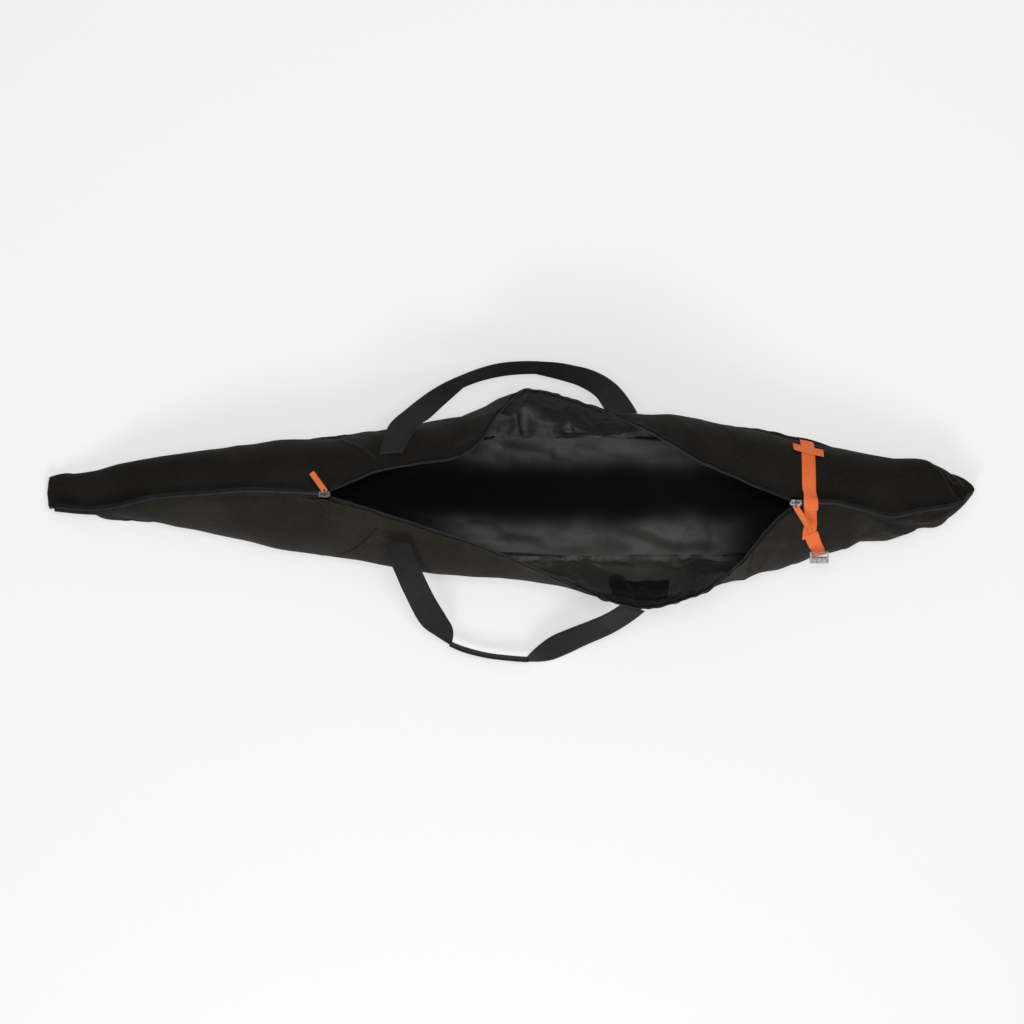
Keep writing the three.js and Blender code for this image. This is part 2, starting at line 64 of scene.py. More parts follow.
# ---- the bag's form: [x, value] stations along its length, the CAD's with a pleat at the right ----
FORM = {
    "far": {
        "sign": 1,
        "half": [
            (-885, 38), (-796, 57), (-682, 80), (-568, 95), (-397, 114), (-270, 114), (-141, 124),
            (-60, 134), (34, 103), (150, 90), (243, 110), (330, 126), (430, 122), (543, 111),
            (657, 90), (743, 75), (800, 67), (845, 45), (880, 22),
        ],
        "base": [
            (-885, 30), (-682, 62), (-397, 106), (-355, 112), (537, 112), (657, 78), (743, 60),
            (828, 42), (880, 18),
        ],
        "open": [
            (-355, 0), (-245, 18.5), (-97, 28), (-60, 37), (-20, 57), (34, 71.5), (112, 65),
            (230, 49), (274, 42), (350, 28), (426, 17), (485, 8), (537, 0),
        ],
    },
    "near": {
        "sign": -1,
        "half": [
            (-885, 24), (-796, 36), (-682, 57), (-568, 77), (-397, 112), (-250, 124), (-141, 130),
            (34, 120), (150, 104), (243, 98), (340, 98), (430, 118), (490, 132), (543, 132),
            (580, 115), (638, 107), (672, 86), (705, 88), (748, 79), (776, 68), (809, 64), (857, 27),
            (880, -3),
        ],
        "base": [
            (-885, 18), (-682, 44), (-397, 104), (-355, 112), (537, 112), (657, 80), (743, 60),
            (828, 38), (857, 22), (880, -3),
        ],
        "open": [
            (-355, 0), (-272, 10), (-163, 22), (-53, 34), (74, 51), (194, 70), (243, 74.4),
            (342, 65.5), (426, 43), (488, 16.5), (537, 0),
        ],
    },
}
RIDGE = [
    (-885, 28), (-796, 60), (-682, 96), (-568, 122), (-397, 138), (-300, 140), (537, 140),
    (657, 128), (743, 106), (828, 74), (880, 38),
]
ZIP_Y = [
    (-885, -20), (-800, -27), (-741, -19), (-684, -5), (-568, 4), (-500, 9), (-355, 4),
    (537, -13), (600, -14), (661, -26), (720, -40), (780, -29), (834, -21), (880, 12),
]

# Each stretch of each side, with the bodies listed for it: from x, to x, bodies, and where the turn
# between them runs.
STRETCHES = {
    "far": [
        ("left_end", LEFT_END, -400, None),
        ("left", -400, -97, ("bag", "far_left_flap", -400, -100)),
        ("peak", -97, 25, ("far_left_flap", "far_peak_flap", -97, 25)),
        ("right", 25, 580, ("bag", "far_right_flap", 580, 20)),
        ("right_end", 580, RIGHT_END, None),
    ],
    "near": [
        ("left_end", LEFT_END, -400, None),
        ("left", -400, -35, ("bag", "near_left_flap", -400, -35)),
        ("peak", -35, 260, ("near_left_flap", "near_peak_flap", -35, 245)),
        ("right", 260, 585, ("bag", "near_right_flap", 585, 275)),
        ("right_end", 585, RIGHT_END, None),
    ],
}
MOUTH = ("left", "peak", "right")


def mouth_stretches(side, left, right):
    """The stretches beside the open mouth, the outer two cut short at left and right."""
    for name, start, end, bodies in STRETCHES[side]:
        if name in MOUTH:
            yield name, max(start, left), min(end, right), bodies


def hermite(i, t, w, values, slopes):
    """Cubic curves between values i and i + 1, at shares t of their widths w."""
    return (
        values[i] * (1 + 2 * t) * (1 - t) ** 2 + values[i + 1] * t * t * (3 - 2 * t)
        + slopes[i] * w * t * (1 - t) ** 2 + slopes[i + 1] * w * t * t * (t - 1)
    )


def along(stations, x):
    """A smooth line through the stations that never overshoots them."""
    xs, ys = np.array(stations, float).T
    x = np.clip(np.asarray(x, float), xs[0], xs[-1])
    slope = np.diff(ys) / np.diff(xs)
    slopes = np.concatenate([slope[:1], np.zeros(len(xs) - 2), slope[-1:]])
    a, b = slope[:-1], slope[1:]
    same = a * b > 0
    slopes[1:-1] = np.where(same, 2 * a * b / np.where(same, a + b, 1), 0)
    i = np.clip(np.searchsorted(xs, x, side="right") - 1, 0, len(xs) - 2)
    w = xs[i + 1] - xs[i]
    return hermite(i, (x - xs[i]) / w, w, ys, slopes)


# A wall's section is a cubic curve from the base seam to the zip. A quarter of the way along, it
# stands as far out as the form's half says: these are the shares of its first two points there.
SEAM_SHARE, SHOULDER_SHARE = 0.42, 0.506
SHOULDER_RISE, CROWN_IN = 0.52, 0.6


def wall(side, x, v):
    """Points of a wall's outer face, in mm. v runs from the base seam, 0, to the zip, 1."""
    form = FORM[side]
    x, v = np.broadcast_arrays(np.asarray(x, float), np.asarray(v, float))
    seam = along(form["base"], x)
    top = along(RIDGE, x)
    shoulder = (along(form["half"], x) - SEAM_SHARE * seam) / SHOULDER_SHARE
    ys = (seam, shoulder, CROWN_IN * shoulder, form["sign"] * along(ZIP_Y, x))
    zs = (SEAM_Z + 0 * top, SEAM_Z + SHOULDER_RISE * (top - SEAM_Z), top, top)
    share = ((1 - v) ** 3, 3 * (1 - v) ** 2 * v, 3 * (1 - v) * v * v, v ** 3)
    y = sum(s * p for s, p in zip(share, ys)) - seam
    z = sum(s * p for s, p in zip(share, zs)) - SEAM_Z
    turn = np.radians(along(form["open"], x))
    out = seam + y * np.cos(turn) + z * np.sin(turn)
    up = SEAM_Z - y * np.sin(turn) + z * np.cos(turn)
    return np.stack([x, form["sign"] * out, up], -1)


def smooth(a, b, x):
    t = np.clip((np.asarray(x, float) - a) / (b - a), 0, 1)
    return t * t * (3 - 2 * t)


def noise(x, y, seed):
    """Soft seeded noise, about -1 to 1, with features about 1 unit across."""
    table = np.random.default_rng(seed).uniform(-1, 1, (64, 64))
    x, y = np.broadcast_arrays(np.asarray(x, float), np.asarray(y, float))
    i, j = np.floor(x).astype(int), np.floor(y).astype(int)
    fx, fy = x - i, y - j
    fx, fy = fx * fx * (3 - 2 * fx), fy * fy * (3 - 2 * fy)
    at = lambda a, b: table[(i + a) % 64, (j + b) % 64]
    low = at(0, 0) * (1 - fx) + at(1, 0) * fx
    high = at(0, 1) * (1 - fx) + at(1, 1) * fx
    return low * (1 - fy) + high * fy


def folds(x, y, seed):
    """Cloth-like folds: soft creases where the noise changes sign."""
    n = noise(x, y, seed) + 0.5 * noise(2.1 * x, 2.1 * y, seed + 1)
    return 1 - 2 * np.abs(n)


def unit(v):
    return v / np.maximum(np.linalg.norm(v, axis=-1, keepdims=True), 1e-9)


def pair(u, v):
    """Two coordinates as one array of pairs, for a cloth's UV."""
    return np.stack(np.broadcast_arrays(u, v), -1)


def travel(points, axis=0):
    """Length travelled along a line of points, or along each row of a grid."""
    steps = np.linalg.norm(np.diff(points, axis=axis), axis=-1)
    start = np.zeros_like(np.take(steps, [0], axis=axis))
    return np.concatenate([start, np.cumsum(steps, axis=axis)], axis=axis)


def stepped(start, end, step):
    """Even places from start to end, about a step apart."""
    return np.linspace(start, end, int((end - start) / step) + 1)


def points_at(places, line, points):
    """Points of a line at some places, straight between the ones it has."""
    return np.stack([np.interp(places, line, points[:, k]) for k in range(3)], -1)


def grid_normals(points, side):
    """Outward unit normals of a grid of wall points."""
    du = np.gradient(points, axis=0)
    dv = np.gradient(points, axis=1)
    return unit(np.cross(dv, du) * FORM[side]["sign"])


def sample(grid, u, v):
    """A grid's values at rows and columns u and v, straight between the ones it has."""
    i = np.minimum(u.astype(int), grid.shape[0] - 2)
    j = np.minimum(v.astype(int), grid.shape[1] - 2)
    fu, fv = (u - i)[..., None], (v - j)[..., None]
    low = grid[i, j] * (1 - fu) + grid[i + 1, j] * fu
    high = grid[i, j + 1] * (1 - fu) + grid[i + 1, j + 1] * fu
    return low * (1 - fv) + high * fv


def resample(grid, nu, nv):
    """A coarse grid of values brought to nu by nv, then softened."""
    u, v = (np.linspace(0, size - 1, count) for size, count in zip(grid.shape, (nu, nv)))
    out = sample(grid, *np.meshgrid(u, v, indexing="ij"))
    for _ in range(2):
        wide = np.pad(out, ((1, 1), (1, 1), (0, 0)), mode="edge")
        out = (wide[:-2, 1:-1] + wide[2:, 1:-1] + wide[1:-1, :-2] + wide[1:-1, 2:] + 4 * out) / 8
    return out


# ---- meshes ----
def mesh_object(name, verts, faces, uvs=None, material=None, normals=None):
    mesh = bpy.data.meshes.new(name)
    mesh.from_pydata([tuple(p) for p in np.asarray(verts) * MM], [], [tuple(f) for f in faces])
    mesh.update()
    for polygon in mesh.polygons:
        polygon.use_smooth = True
    if uvs is not None:
        layer = mesh.uv_layers.new(name="cloth")
        loops = np.empty(len(mesh.loops), np.int32)
        mesh.loops.foreach_get("vertex_index", loops)
        layer.data.foreach_set("uv", (np.asarray(uvs) * MM)[loops].astype(np.float32).ravel())
    if normals is not None:
        mesh.normals_split_custom_set_from_vertices([tuple(n) for n in normals])
    obj = bpy.data.objects.new(name, mesh)
    bpy.context.scene.collection.objects.link(obj)
    if material:
        mesh.materials.append(material)
    return obj


def grid_faces(nu, nv, flip):
    index = np.arange(nu * nv).reshape(nu, nv)
    quads = np.stack([index[:-1, :-1], index[1:, :-1], index[1:, 1:], index[:-1, 1:]], -1)
    return quads.reshape(-1, 4)[:, :: -1 if flip else 1]


def thick_sheet(name, outer, inner, uv, material, normals=None, flip=False):
    """A closed sheet between two grids of points."""
    nu, nv = outer.shape[:2]
    index = np.arange(nu * nv).reshape(nu, nv)
    ring = np.concatenate([index[:, 0], index[-1, 1:], index[-2::-1, -1], index[0, -2:0:-1]])
    after = np.roll(ring, -1)
    rim = np.stack([ring, ring + nu * nv, after + nu * nv, after], -1)[:, :: -1 if flip else 1]
    bottom = grid_faces(nu, nv, not flip) + nu * nv
    faces = np.concatenate([grid_faces(nu, nv, flip), bottom, rim])
    verts = np.concatenate([outer.reshape(-1, 3), inner.reshape(-1, 3)])
    uvs = np.concatenate([uv.reshape(-1, 2)] * 2)
    both = None
    if normals is not None:
        flat = normals.reshape(-1, 3)
        both = np.concatenate([flat, -flat])
    return mesh_object(name, verts, faces, uvs, material, both)


def place(obj, bodies, slot, *nodes):
    """Puts a piece on its bodies, in place of the CAD nodes it stands for. Its colour slot is not
    used.
    Bodies is None for the bag itself or one body's name, and the piece is attached to it; for a turn
    between two bodies along X, the piece is only baked where it stands."""
    if bodies is None or isinstance(bodies, str):
        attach(obj, bodies or "bag")
    else:
        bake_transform(obj)
    if nodes:
        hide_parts(*nodes)
    return obj


# ---- materials ----
def brighter(color, gain):
    return tuple(min(1, gain * k) for k in color)


class Cloth:
    """Builds a node material. UV is the cloth's own surface in metres: U along the bag or strap,
    V away from the zip or the strap's edge."""

    def __init__(self, name, roughness, specular, metallic=0.0):
        self.material = bpy.data.materials.new(name)
        self.material.use_nodes = True
        self.tree = self.material.node_tree
        self.inputs = self.tree.nodes["Principled BSDF"].inputs
        self.look(Roughness=roughness, Specular_IOR_Level=specular, Metallic=metallic)
        self.uv = self.add("ShaderNodeUVMap", uv_map="cloth").outputs[0]
        self.u, self.v, _ = self.axes(self.uv)
        self.place = self.add("ShaderNodeTexCoord").outputs["Object"]
        self.surface = None

    def add(self, kind, **settings):
        node = self.tree.nodes.new(kind)
        for key, value in settings.items():
            setattr(node, key, value)
        return node

    def put(self, socket, value):
        """Sets a socket's value, or links another node's output to it."""
        if hasattr(value, "is_output"):
            self.tree.links.new(value, socket)
        else:
            socket.default_value = value

    def look(self, **inputs):
        """Sets the shader's inputs, their names written with underscores."""
        for key, value in inputs.items():
            self.put(self.inputs[key.replace("_", " ")], value)

    def axes(self, vector):
        node = self.add("ShaderNodeSeparateXYZ")
        self.put(node.inputs[0], vector)
        return node.outputs

    def math(self, operation, *values, clamp=False):
        node = self.add("ShaderNodeMath", operation=operation, use_clamp=clamp)
        for socket, value in zip(node.inputs, values):
            self.put(socket, value)
        return node.outputs[0]

    def times(self, a, b):
        return self.math("MULTIPLY", a, b)

    def scaled(self, value, gain, offset, clamp=False):
        return self.math("MULTIPLY_ADD", value, gain, offset, clamp=clamp)

    def wave(self, value, pitch):
        return self.math("SINE", self.times(value, 2 * math.pi / pitch))

    def noise(self, vector, scale, detail=3.0, rough=0.55, stretch=None):
        if stretch:
            mapping = self.add("ShaderNodeMapping")
            self.put(mapping.inputs[0], vector)
            self.put(mapping.inputs["Scale"], stretch)
            vector = mapping.outputs[0]
        node = self.add("ShaderNodeTexNoise")
        settings = {"Vector": vector, "Scale": scale, "Detail": detail, "Roughness": rough}
        for key, value in settings.items():
            self.put(node.inputs[key], value)
        return node.outputs[0]

    def fade(self, value, low, high, out_low=0.0, out_high=1.0):
        node = self.add("ShaderNodeMapRange", interpolation_type="SMOOTHSTEP")
        for socket, number in zip(node.inputs, (value, low, high, out_low, out_high)):
            self.put(socket, number)
        return node.outputs[0]

    def mix(self, share, a, b):
        node = self.add("ShaderNodeMix", data_type="RGBA")
        self.put(node.inputs[0], share)
        self.put(node.inputs[6], a if hasattr(a, "is_output") else (*a, 1))
        self.put(node.inputs[7], b if hasattr(b, "is_output") else (*b, 1))
        return node.outputs[2]

    def bump(self, height, distance, strength):
        node = self.add("ShaderNodeBump")
        for key, value in (("Strength", strength), ("Distance", distance), ("Height", height)):
            self.put(node.inputs[key], value)
        if self.surface:
            self.put(node.inputs["Normal"], self.surface)
        self.surface = node.outputs[0]

    def weave(self, pitch):
        """Over-and-under threads of a plain weave, 0 to 1."""
        return self.scaled(self.times(self.wave(self.u, pitch), self.wave(self.v, pitch)), 0.5, 0.5)

    def line(self, value, at, half_width):
        """1 on a line where value is near at, 0 off it."""
        off = self.math("ABSOLUTE", self.math("SUBTRACT", value, at))
        return self.fade(off, half_width * 0.6, half_width, 1.0, 0.0)

    def dashes(self, value, pitch, share=0.68):
        part = self.math("FRACT", self.math("DIVIDE", value, pitch))
        return self.math("LESS_THAN", part, share)

    def finish(self, color):
        self.look(Base_Color=color, Normal=self.surface)
        return self.material


def shell_cloth(name, dark, light, hem=True):
    """Heavy woven polyester: weave, faint slubs, soft dusty patches, topstitching beside the zip."""
    c = Cloth(name, 0.82, 0.07)
    patches = c.noise(c.place, 9, 4)
    slubs = c.noise(c.uv, 900, 2, stretch=(0.16, 1, 1))
    tone = c.scaled(c.fade(patches, 0.3, 0.72), 0.62, 0.08)
    tone = c.scaled(c.fade(slubs, 0.3, 0.7), 0.25, tone, clamp=True)
    color = c.mix(tone, dark, light)
    grain = c.noise(c.uv, 330, 2, 0.7)
    color = c.mix(c.fade(grain, 0.35, 0.72, 0.0, 0.5), color, brighter(light, 1.5))
    if hem:
        # wear: the hem beside the zip is rubbed a little paler
        rub = c.times(c.fade(c.v, 0.0, 0.004, 1.0, 0.0), c.fade(patches, 0.35, 0.6))
        color = c.mix(c.times(rub, 0.55), color, brighter(light, 1.9))
    lint = c.noise(c.place, 430, 1, 0.3)
    color = c.mix(c.fade(lint, 0.765, 0.79, 0.0, 0.35), color, (0.16, 0.15, 0.14))
    for row in (0.0065, 0.0095):
        run = c.times(c.line(c.v, row, 0.0006), c.dashes(c.u, 0.0042))
        color = c.mix(c.times(run, 0.6), color, brighter(light, 1.7))
        c.bump(c.line(c.v, row, 0.0016), 0.0006, -0.9)
    c.bump(c.weave(0.0016), 0.00022, 0.8)
    c.bump(c.noise(c.place, 60, 3), 0.0022, 0.55)
    c.look(Sheen_Weight=0.03, Roughness=c.fade(patches, 0.2, 0.8, 0.92, 0.74))
    return c.finish(color)


def lining_cloth(name, far_pair, near_pair):
    """Thin coated lining: fine weave, light crumples, a soft satin shine. Each pair is its darker
    and lighter colour; the near side catches more light, and the bag's middle least."""
    c = Cloth(name, 0.5, 0.3)
    x, y, _ = c.axes(c.place)
    tone = c.fade(c.noise(c.place, 5, 2), 0.3, 0.72)
    near = c.fade(y, -0.09, 0.02, 1.0, 0.0)
    color = c.mix(near, c.mix(tone, *far_pair), c.mix(tone, *near_pair))
    lint = c.noise(c.place, 350, 1, 0.3)
    color = c.mix(c.fade(lint, 0.775, 0.8, 0.0, 0.3), color, (0.2, 0.19, 0.18))
    # little light reaches the cloth along the bag's middle, near the sliders or under the near lip
    wander = c.scaled(c.noise(c.place, 7, 2), 0.07, -0.035)
    shade = c.fade(c.math("ADD", c.v, wander), 0.20, 0.31, 0.0, 0.9)
    for darker in (
        c.times(c.fade(c.v, 0.015, 0.085, 0.8, 0.0), near),
        c.fade(x, -0.26, 0.0, 0.85, 0.0),
        c.fade(x, 0.34, 0.50, 0.0, 0.8),
    ):
        shade = c.math("MAXIMUM", shade, darker)
    color = c.mix(shade, color, (0.0030, 0.0029, 0.0029))
    c.bump(c.weave(0.0011), 0.0001, 0.5)
    c.bump(c.noise(c.place, 70, 2, 0.5), 0.0009, 0.35)
    c.bump(c.noise(c.place, 16, 2, 0.45, stretch=(1, 0.6, 0.6)), 0.014, 0.5)
    rough, shine = c.fade(shade, 0.0, 0.9, 0.42, 0.8), c.fade(shade, 0.0, 0.9, 0.26, 0.03)
    c.look(Sheen_Weight=0.05, Roughness=rough, Specular_IOR_Level=shine)
    return c.finish(color)


def webbing(name, dark, light, rib=0.0017, flat=False):
    """Woven strap: ribs across it, threads along it, and paler rubbed places. flat lays the weave
    out by X and Y, for a piece with no unwrapping."""
    c = Cloth(name, 0.78, 0.09)
    if flat:
        c.u, c.v, _ = c.axes(c.place)
        c.uv = c.place
    ribs = c.wave(c.u, rib)
    cross = c.times(ribs, c.wave(c.v, rib * 0.9))
    tone = c.scaled(c.fade(c.noise(c.place, 22, 3), 0.25, 0.75), 0.55, 0.1)
    tone = c.scaled(c.noise(c.uv, 1300, 2), 0.35, tone, clamp=True)
    tone = c.scaled(cross, 0.12, tone, clamp=True)
    c.bump(ribs, 0.0003, 0.7)
    c.bump(cross, 0.00025, 0.7)
    c.bump(c.noise(c.place, 90, 2), 0.0012, 0.35)
    c.look(Sheen_Weight=0.08)
    return c.finish(c.mix(tone, dark, light))


def zip_cloth(name, dark, light):
    """Zip tape: fine slanting twill."""
    c = Cloth(name, 0.7, 0.22)
    slant = c.scaled(c.u, 0.4, c.v)
    c.bump(c.wave(slant, 0.0008), 0.00018, 0.8)
    return c.finish(c.mix(c.fade(c.noise(c.place, 40, 3), 0.3, 0.7), dark, light))


def moulded(name, dark, light, roughness=0.4):
    c = Cloth(name, roughness, 0.4)
    c.bump(c.noise(c.place, 900, 2), 0.0001, 0.5)
    return c.finish(c.mix(c.fade(c.noise(c.place, 60, 3), 0.3, 0.7), dark, light))


def steel(name, dark, light, roughness):
    """Cast, tumbled metal: fine grain, dull places and a few small scratches."""
    c = Cloth(name, roughness, 0.5, metallic=1.0)
    patches = c.noise(c.place, 220, 4)
    scratches = c.noise(c.place, 900, 2, stretch=(0.12, 1, 1))
    c.bump(c.fade(scratches, 0.6, 0.7), 0.00004, 0.5)
    c.bump(patches, 0.00012, 0.4)
    c.look(Roughness=c.fade(patches, 0.25, 0.75, roughness + 0.14, roughness - 0.08))
    return c.finish(c.mix(c.fade(patches, 0.3, 0.7), dark, light))


# Both walls are one black polyester. The near copy's colours are set lighter as painted light, where
# the near wall faces the lamps more, and the far copy's darker as painted shade.
SHADED_FAR_SHELL = shell_cloth("far_shell", (0.0050, 0.0045, 0.0034), (0.0120, 0.0107, 0.0084))
LIT_NEAR_SHELL = shell_cloth("near_shell", (0.0092, 0.0078, 0.0062), (0.0245, 0.0206, 0.0166))
BASE_SHELL = shell_cloth("base_shell", (0.008, 0.008, 0.008), (0.015, 0.014, 0.014), hem=False)
FACING = shell_cloth("facing", (0.0035, 0.0034, 0.0033), (0.0075, 0.0072, 0.0068), hem=False)
LINING = lining_cloth(
    "lining", ((0.0052, 0.0050, 0.0046), (0.0120, 0.0116, 0.0108)),
    ((0.015, 0.0144, 0.0133), (0.032, 0.0308, 0.0287)),
)
# The patch is black shell cloth; its colours are set darker still as painted shade, where it lies in
# the shadow under the near lip.
PATCH = shell_cloth("patch", (0.0024, 0.0024, 0.0024), (0.0050, 0.0050, 0.0048), hem=False)
HANDLE = webbing("handle_webbing", (0.009, 0.0088, 0.0088), (0.020, 0.0195, 0.0190))
ORANGE = webbing("orange_webbing", (0.96, 0.150, 0.030), (1.0, 0.235, 0.066), 0.0014)
TAB = webbing("tab_webbing", (0.80, 0.150, 0.040), (0.98, 0.250, 0.085), 0.0013, flat=True)
TAB_THREAD = moulded("tab_thread", (0.30, 0.060, 0.020), (0.42, 0.09, 0.03), 0.7)
TAPE = zip_cloth("zip_tape", (0.0045, 0.0045, 0.0046), (0.011, 0.011, 0.0112))
TEETH = moulded("zip_teeth", (0.010, 0.010, 0.010), (0.022, 0.022, 0.024))
THREAD = moulded("thread", (0.020, 0.019, 0.018), (0.045, 0.043, 0.040), 0.7)
ORANGE_THREAD = moulded("orange_thread", (0.80, 0.20, 0.07), (0.92, 0.30, 0.12), 0.7)
BLACK_METAL = moulded("black_metal", (0.012, 0.012, 0.012), (0.03, 0.03, 0.03), 0.35)
STEEL = steel("steel", (0.17, 0.17, 0.175), (0.30, 0.30, 0.31), 0.42)
DARK_STEEL = steel("dark_steel", (0.035, 0.035, 0.036), (0.11, 0.11, 0.115), 0.36)
SEAM_EDGE = zip_cloth("seam_edge", (0.004, 0.004, 0.004), (0.010, 0.0095, 0.009))


# ---- the walls: a sagging, wrinkled shell ----
WALL_STEP = 4.0
WALL_ROWS = 52
SKIN_TOP, SHUT_TOP = 0.965, 0.985
COARSE_STEP, COARSE_ROWS = 9.0, 26
WALL_SAG, LINING_SAG = 9.0, 12.0
SAG_FRAMES = 22
CLOTH_SETTINGS = {
    "quality": 6, "mass": 0.25, "tension_stiffness": 18, "compression_stiffness": 18,
    "shear_stiffness": 6, "air_damping": 3, "pin_stiffness": 0.35,
}


def cloth_sag(name, points, hold, growth, stiff):
    """Lets a grid of cloth, held at its edges and a little larger than its place, sag and wrinkle.
    hold is how firmly the rest keeps its place. Returns the new points."""
    nu, nv = points.shape[:2]
    obj = mesh_object(name, points.reshape(-1, 3), grid_faces(nu, nv, False))
    group = obj.vertex_groups.new(name="pin")
    for index, weight in enumerate(np.where(edge_mask(nu, nv), 1.0, hold).ravel()):
        group.add([index], float(weight), "REPLACE")
    modifier = obj.modifiers.new("cloth", "CLOTH")
    settings = modifier.settings
    for key, value in CLOTH_SETTINGS.items():
        setattr(settings, key, value)
    settings.bending_stiffness = stiff
    settings.vertex_group_mass = "pin"
    settings.shrink_min = -growth
    modifier.collision_settings.use_collision = False
    modifier.collision_settings.use_self_collision = False
    modifier.point_cache.frame_start = 1
    modifier.point_cache.frame_end = SAG_FRAMES
    scene = bpy.context.scene
    for number in range(1, SAG_FRAMES + 1):
        scene.frame_set(number)
    depsgraph = bpy.context.evaluated_depsgraph_get()
    moved = obj.evaluated_get(depsgraph).to_mesh()
    out = np.empty(len(moved.vertices) * 3)
    moved.vertices.foreach_get("co", out)
    scene.frame_set(1)
    mesh = obj.data
    bpy.data.objects.remove(obj)
    bpy.data.meshes.remove(mesh)
    return out.reshape(nu, nv, 3) / MM


def edge_mask(nu, nv):
    mask = np.zeros((nu, nv), bool)
    mask[[0, -1], :] = True
    mask[:, [0, -1]] = True
    return mask


def capped(move, cap):
    length = np.linalg.norm(move, axis=-1, keepdims=True)
    return move * np.minimum(1, cap / np.maximum(length, 1e-6))


def wall_move(side):
    """How far each coarse point of a wall moves as its cloth sags, in mm."""
    xs = stepped(LEFT_END, RIGHT_END, COARSE_STEP)
    vs = np.linspace(0, 1, COARSE_ROWS)
    rest = wall(side, xs[:, None], vs[None, :])
    sagged = cloth_sag(side + "_sag", rest, hold=0.02, growth=0.028, stiff=2.0)
    return capped(sagged - rest, WALL_SAG)


WALL_LENGTH = 150.0
# Sharp folds pressed into the ends: from (x, v), to (x, v), half width and height in mm.
CREASES = {
    "far": [
        ((842, 0.42), (862, 0.80), 7, -5), ((835, 0.60), (880, 0.66), 6, 4),
        ((-882, 0.75), (-828, 0.93), 7, -4), ((-884, 0.55), (-850, 0.30), 8, 3),
    ],
    "near": [
        ((697, 0.95), (673, 0.45), 9, -6), ((684, 0.97), (775, 0.60), 8, -5),
        ((700, 0.72), (768, 0.50), 9, 5), ((775, 0.66), (857, 0.74), 8, 5),
        ((-866, 0.60), (-810, 0.84), 8, -4),
    ],
}


def crease_lift(side, x, v, height):
    """How far the folds lift the wall at each place. Height is its length from base to zip there."""
    total = np.zeros_like(x)
    for (x0, v0), (x1, v1), half, rise in CREASES[side]:
        run = np.array([x1 - x0, (v1 - v0) * WALL_LENGTH])
        px, py = x - x0, (v - v0) * height
        along_it = np.clip((px * run[0] + py * run[1]) / (run @ run), 0, 1)
        off = np.hypot(px - along_it * run[0], py - along_it * run[1])
        total += rise * np.exp(-(off / half) ** 2) * smooth(-0.05, 0.25, along_it + 0.1)
    return total


def lengths(xs, points):
    """At each point of a grid: its x, and the cloth's length from its foot and on to the zip."""
    from_foot = travel(points, axis=1)
    return np.broadcast_to(xs[:, None], from_foot.shape), from_foot, from_foot[:, -1:] - from_foot


def wall_grid(side):
    """The wall's fine grid: its places along the bag, outer points, normals and cloth UV, in mm."""
    xs = stepped(LEFT_END, RIGHT_END, WALL_STEP)
    vs = np.linspace(0, 1, WALL_ROWS)
    points = wall(side, xs[:, None], vs[None, :])
    normal = grid_normals(points, side)
    x, from_base, to_zip = lengths(xs, points)
    seed = SEED + (0 if side == "far" else 40)
    # puckers where the zip gathers the cloth, and where the base seam does
    puckers = noise(x / 17, to_zip / 90, seed) * np.exp(-to_zip / 34) * smooth(0, 9, to_zip)
    hemmed = noise(x / 24, from_base / 70, seed + 3) * np.exp(-from_base / 26)
    # long soft dents, and creases that run down from the zip
    dents = noise(x / 150, to_zip / 95, seed + 5) + 0.5 * noise(x / 64, to_zip / 48, seed + 6)
    slanted = folds((x + 0.7 * to_zip) / 120, (to_zip - 0.3 * x) / 260, seed + 8)
    middle = smooth(0, 40, to_zip) * smooth(0, 30, from_base)
    ends = smooth(0, 60, x - LEFT_END) * smooth(0, 60, RIGHT_END - x)
    lift = 1.9 * puckers + 1.4 * hemmed + middle * (1.9 * dents + 2.0 * slanted) * ends
    lift = lift + crease_lift(side, x, np.broadcast_to(vs, x.shape), from_base[:, -1:])
    points = points + normal * lift[..., None]
    points = points + resample(wall_move(side), len(xs), WALL_ROWS)
    points[..., 2] = np.maximum(points[..., 2], 3.0)
    return xs, points, grid_normals(points, side), pair(x, to_zip)


def hem_lift(to_zip):
    """The turned-over hem beside the zip stands a little proud."""
    return 1.1 * smooth(14, 11.5, to_zip) * smooth(3.5, 6, to_zip + 2)


WALLS = {side: wall_grid(side) for side in FORM}
SKIN = {"far": SHADED_FAR_SHELL, "near": LIT_NEAR_SHELL}
SKIN_THICK, LINING_THICK = 2.2, 1.0


def cut(xs, start, end):
    """The columns of a grid from one x to another, both included."""
    first, last = (int(np.argmin(np.abs(xs - x))) for x in (start, end))
    return slice(first, last + 1)


def build_walls():
    for side in FORM:
        xs, points, normals, uv = WALLS[side]
        node_of = {name: f"{side}_mouth_skin_{name}" for name in MOUTH}
        node_of.update({end + "_end": f"{side}_wall_{end}" for end in ("left", "right")})
        for name, start, end, bodies in STRETCHES[side]:
            rows = slice(0, int((SKIN_TOP if name in MOUTH else SHUT_TOP) * WALL_ROWS))
            part = cut(xs, start, end)
            normal, cloth = normals[part, rows], uv[part, rows]
            outer = points[part, rows] + normal * hem_lift(cloth[..., 1])[..., None]
            inner = outer - normal * SKIN_THICK
            piece = f"{side}_shell_{name}"
            skin = thick_sheet(piece, outer, inner, cloth, SKIN[side], normal, side == "far")
            place(skin, bodies, "shell_fabric", node_of[name])


build_walls()


# ---- the lining inside the mouth ----
LINING_ENDS = (-395.0, 575.0)
LINING_ROWS = WALL_ROWS - 2


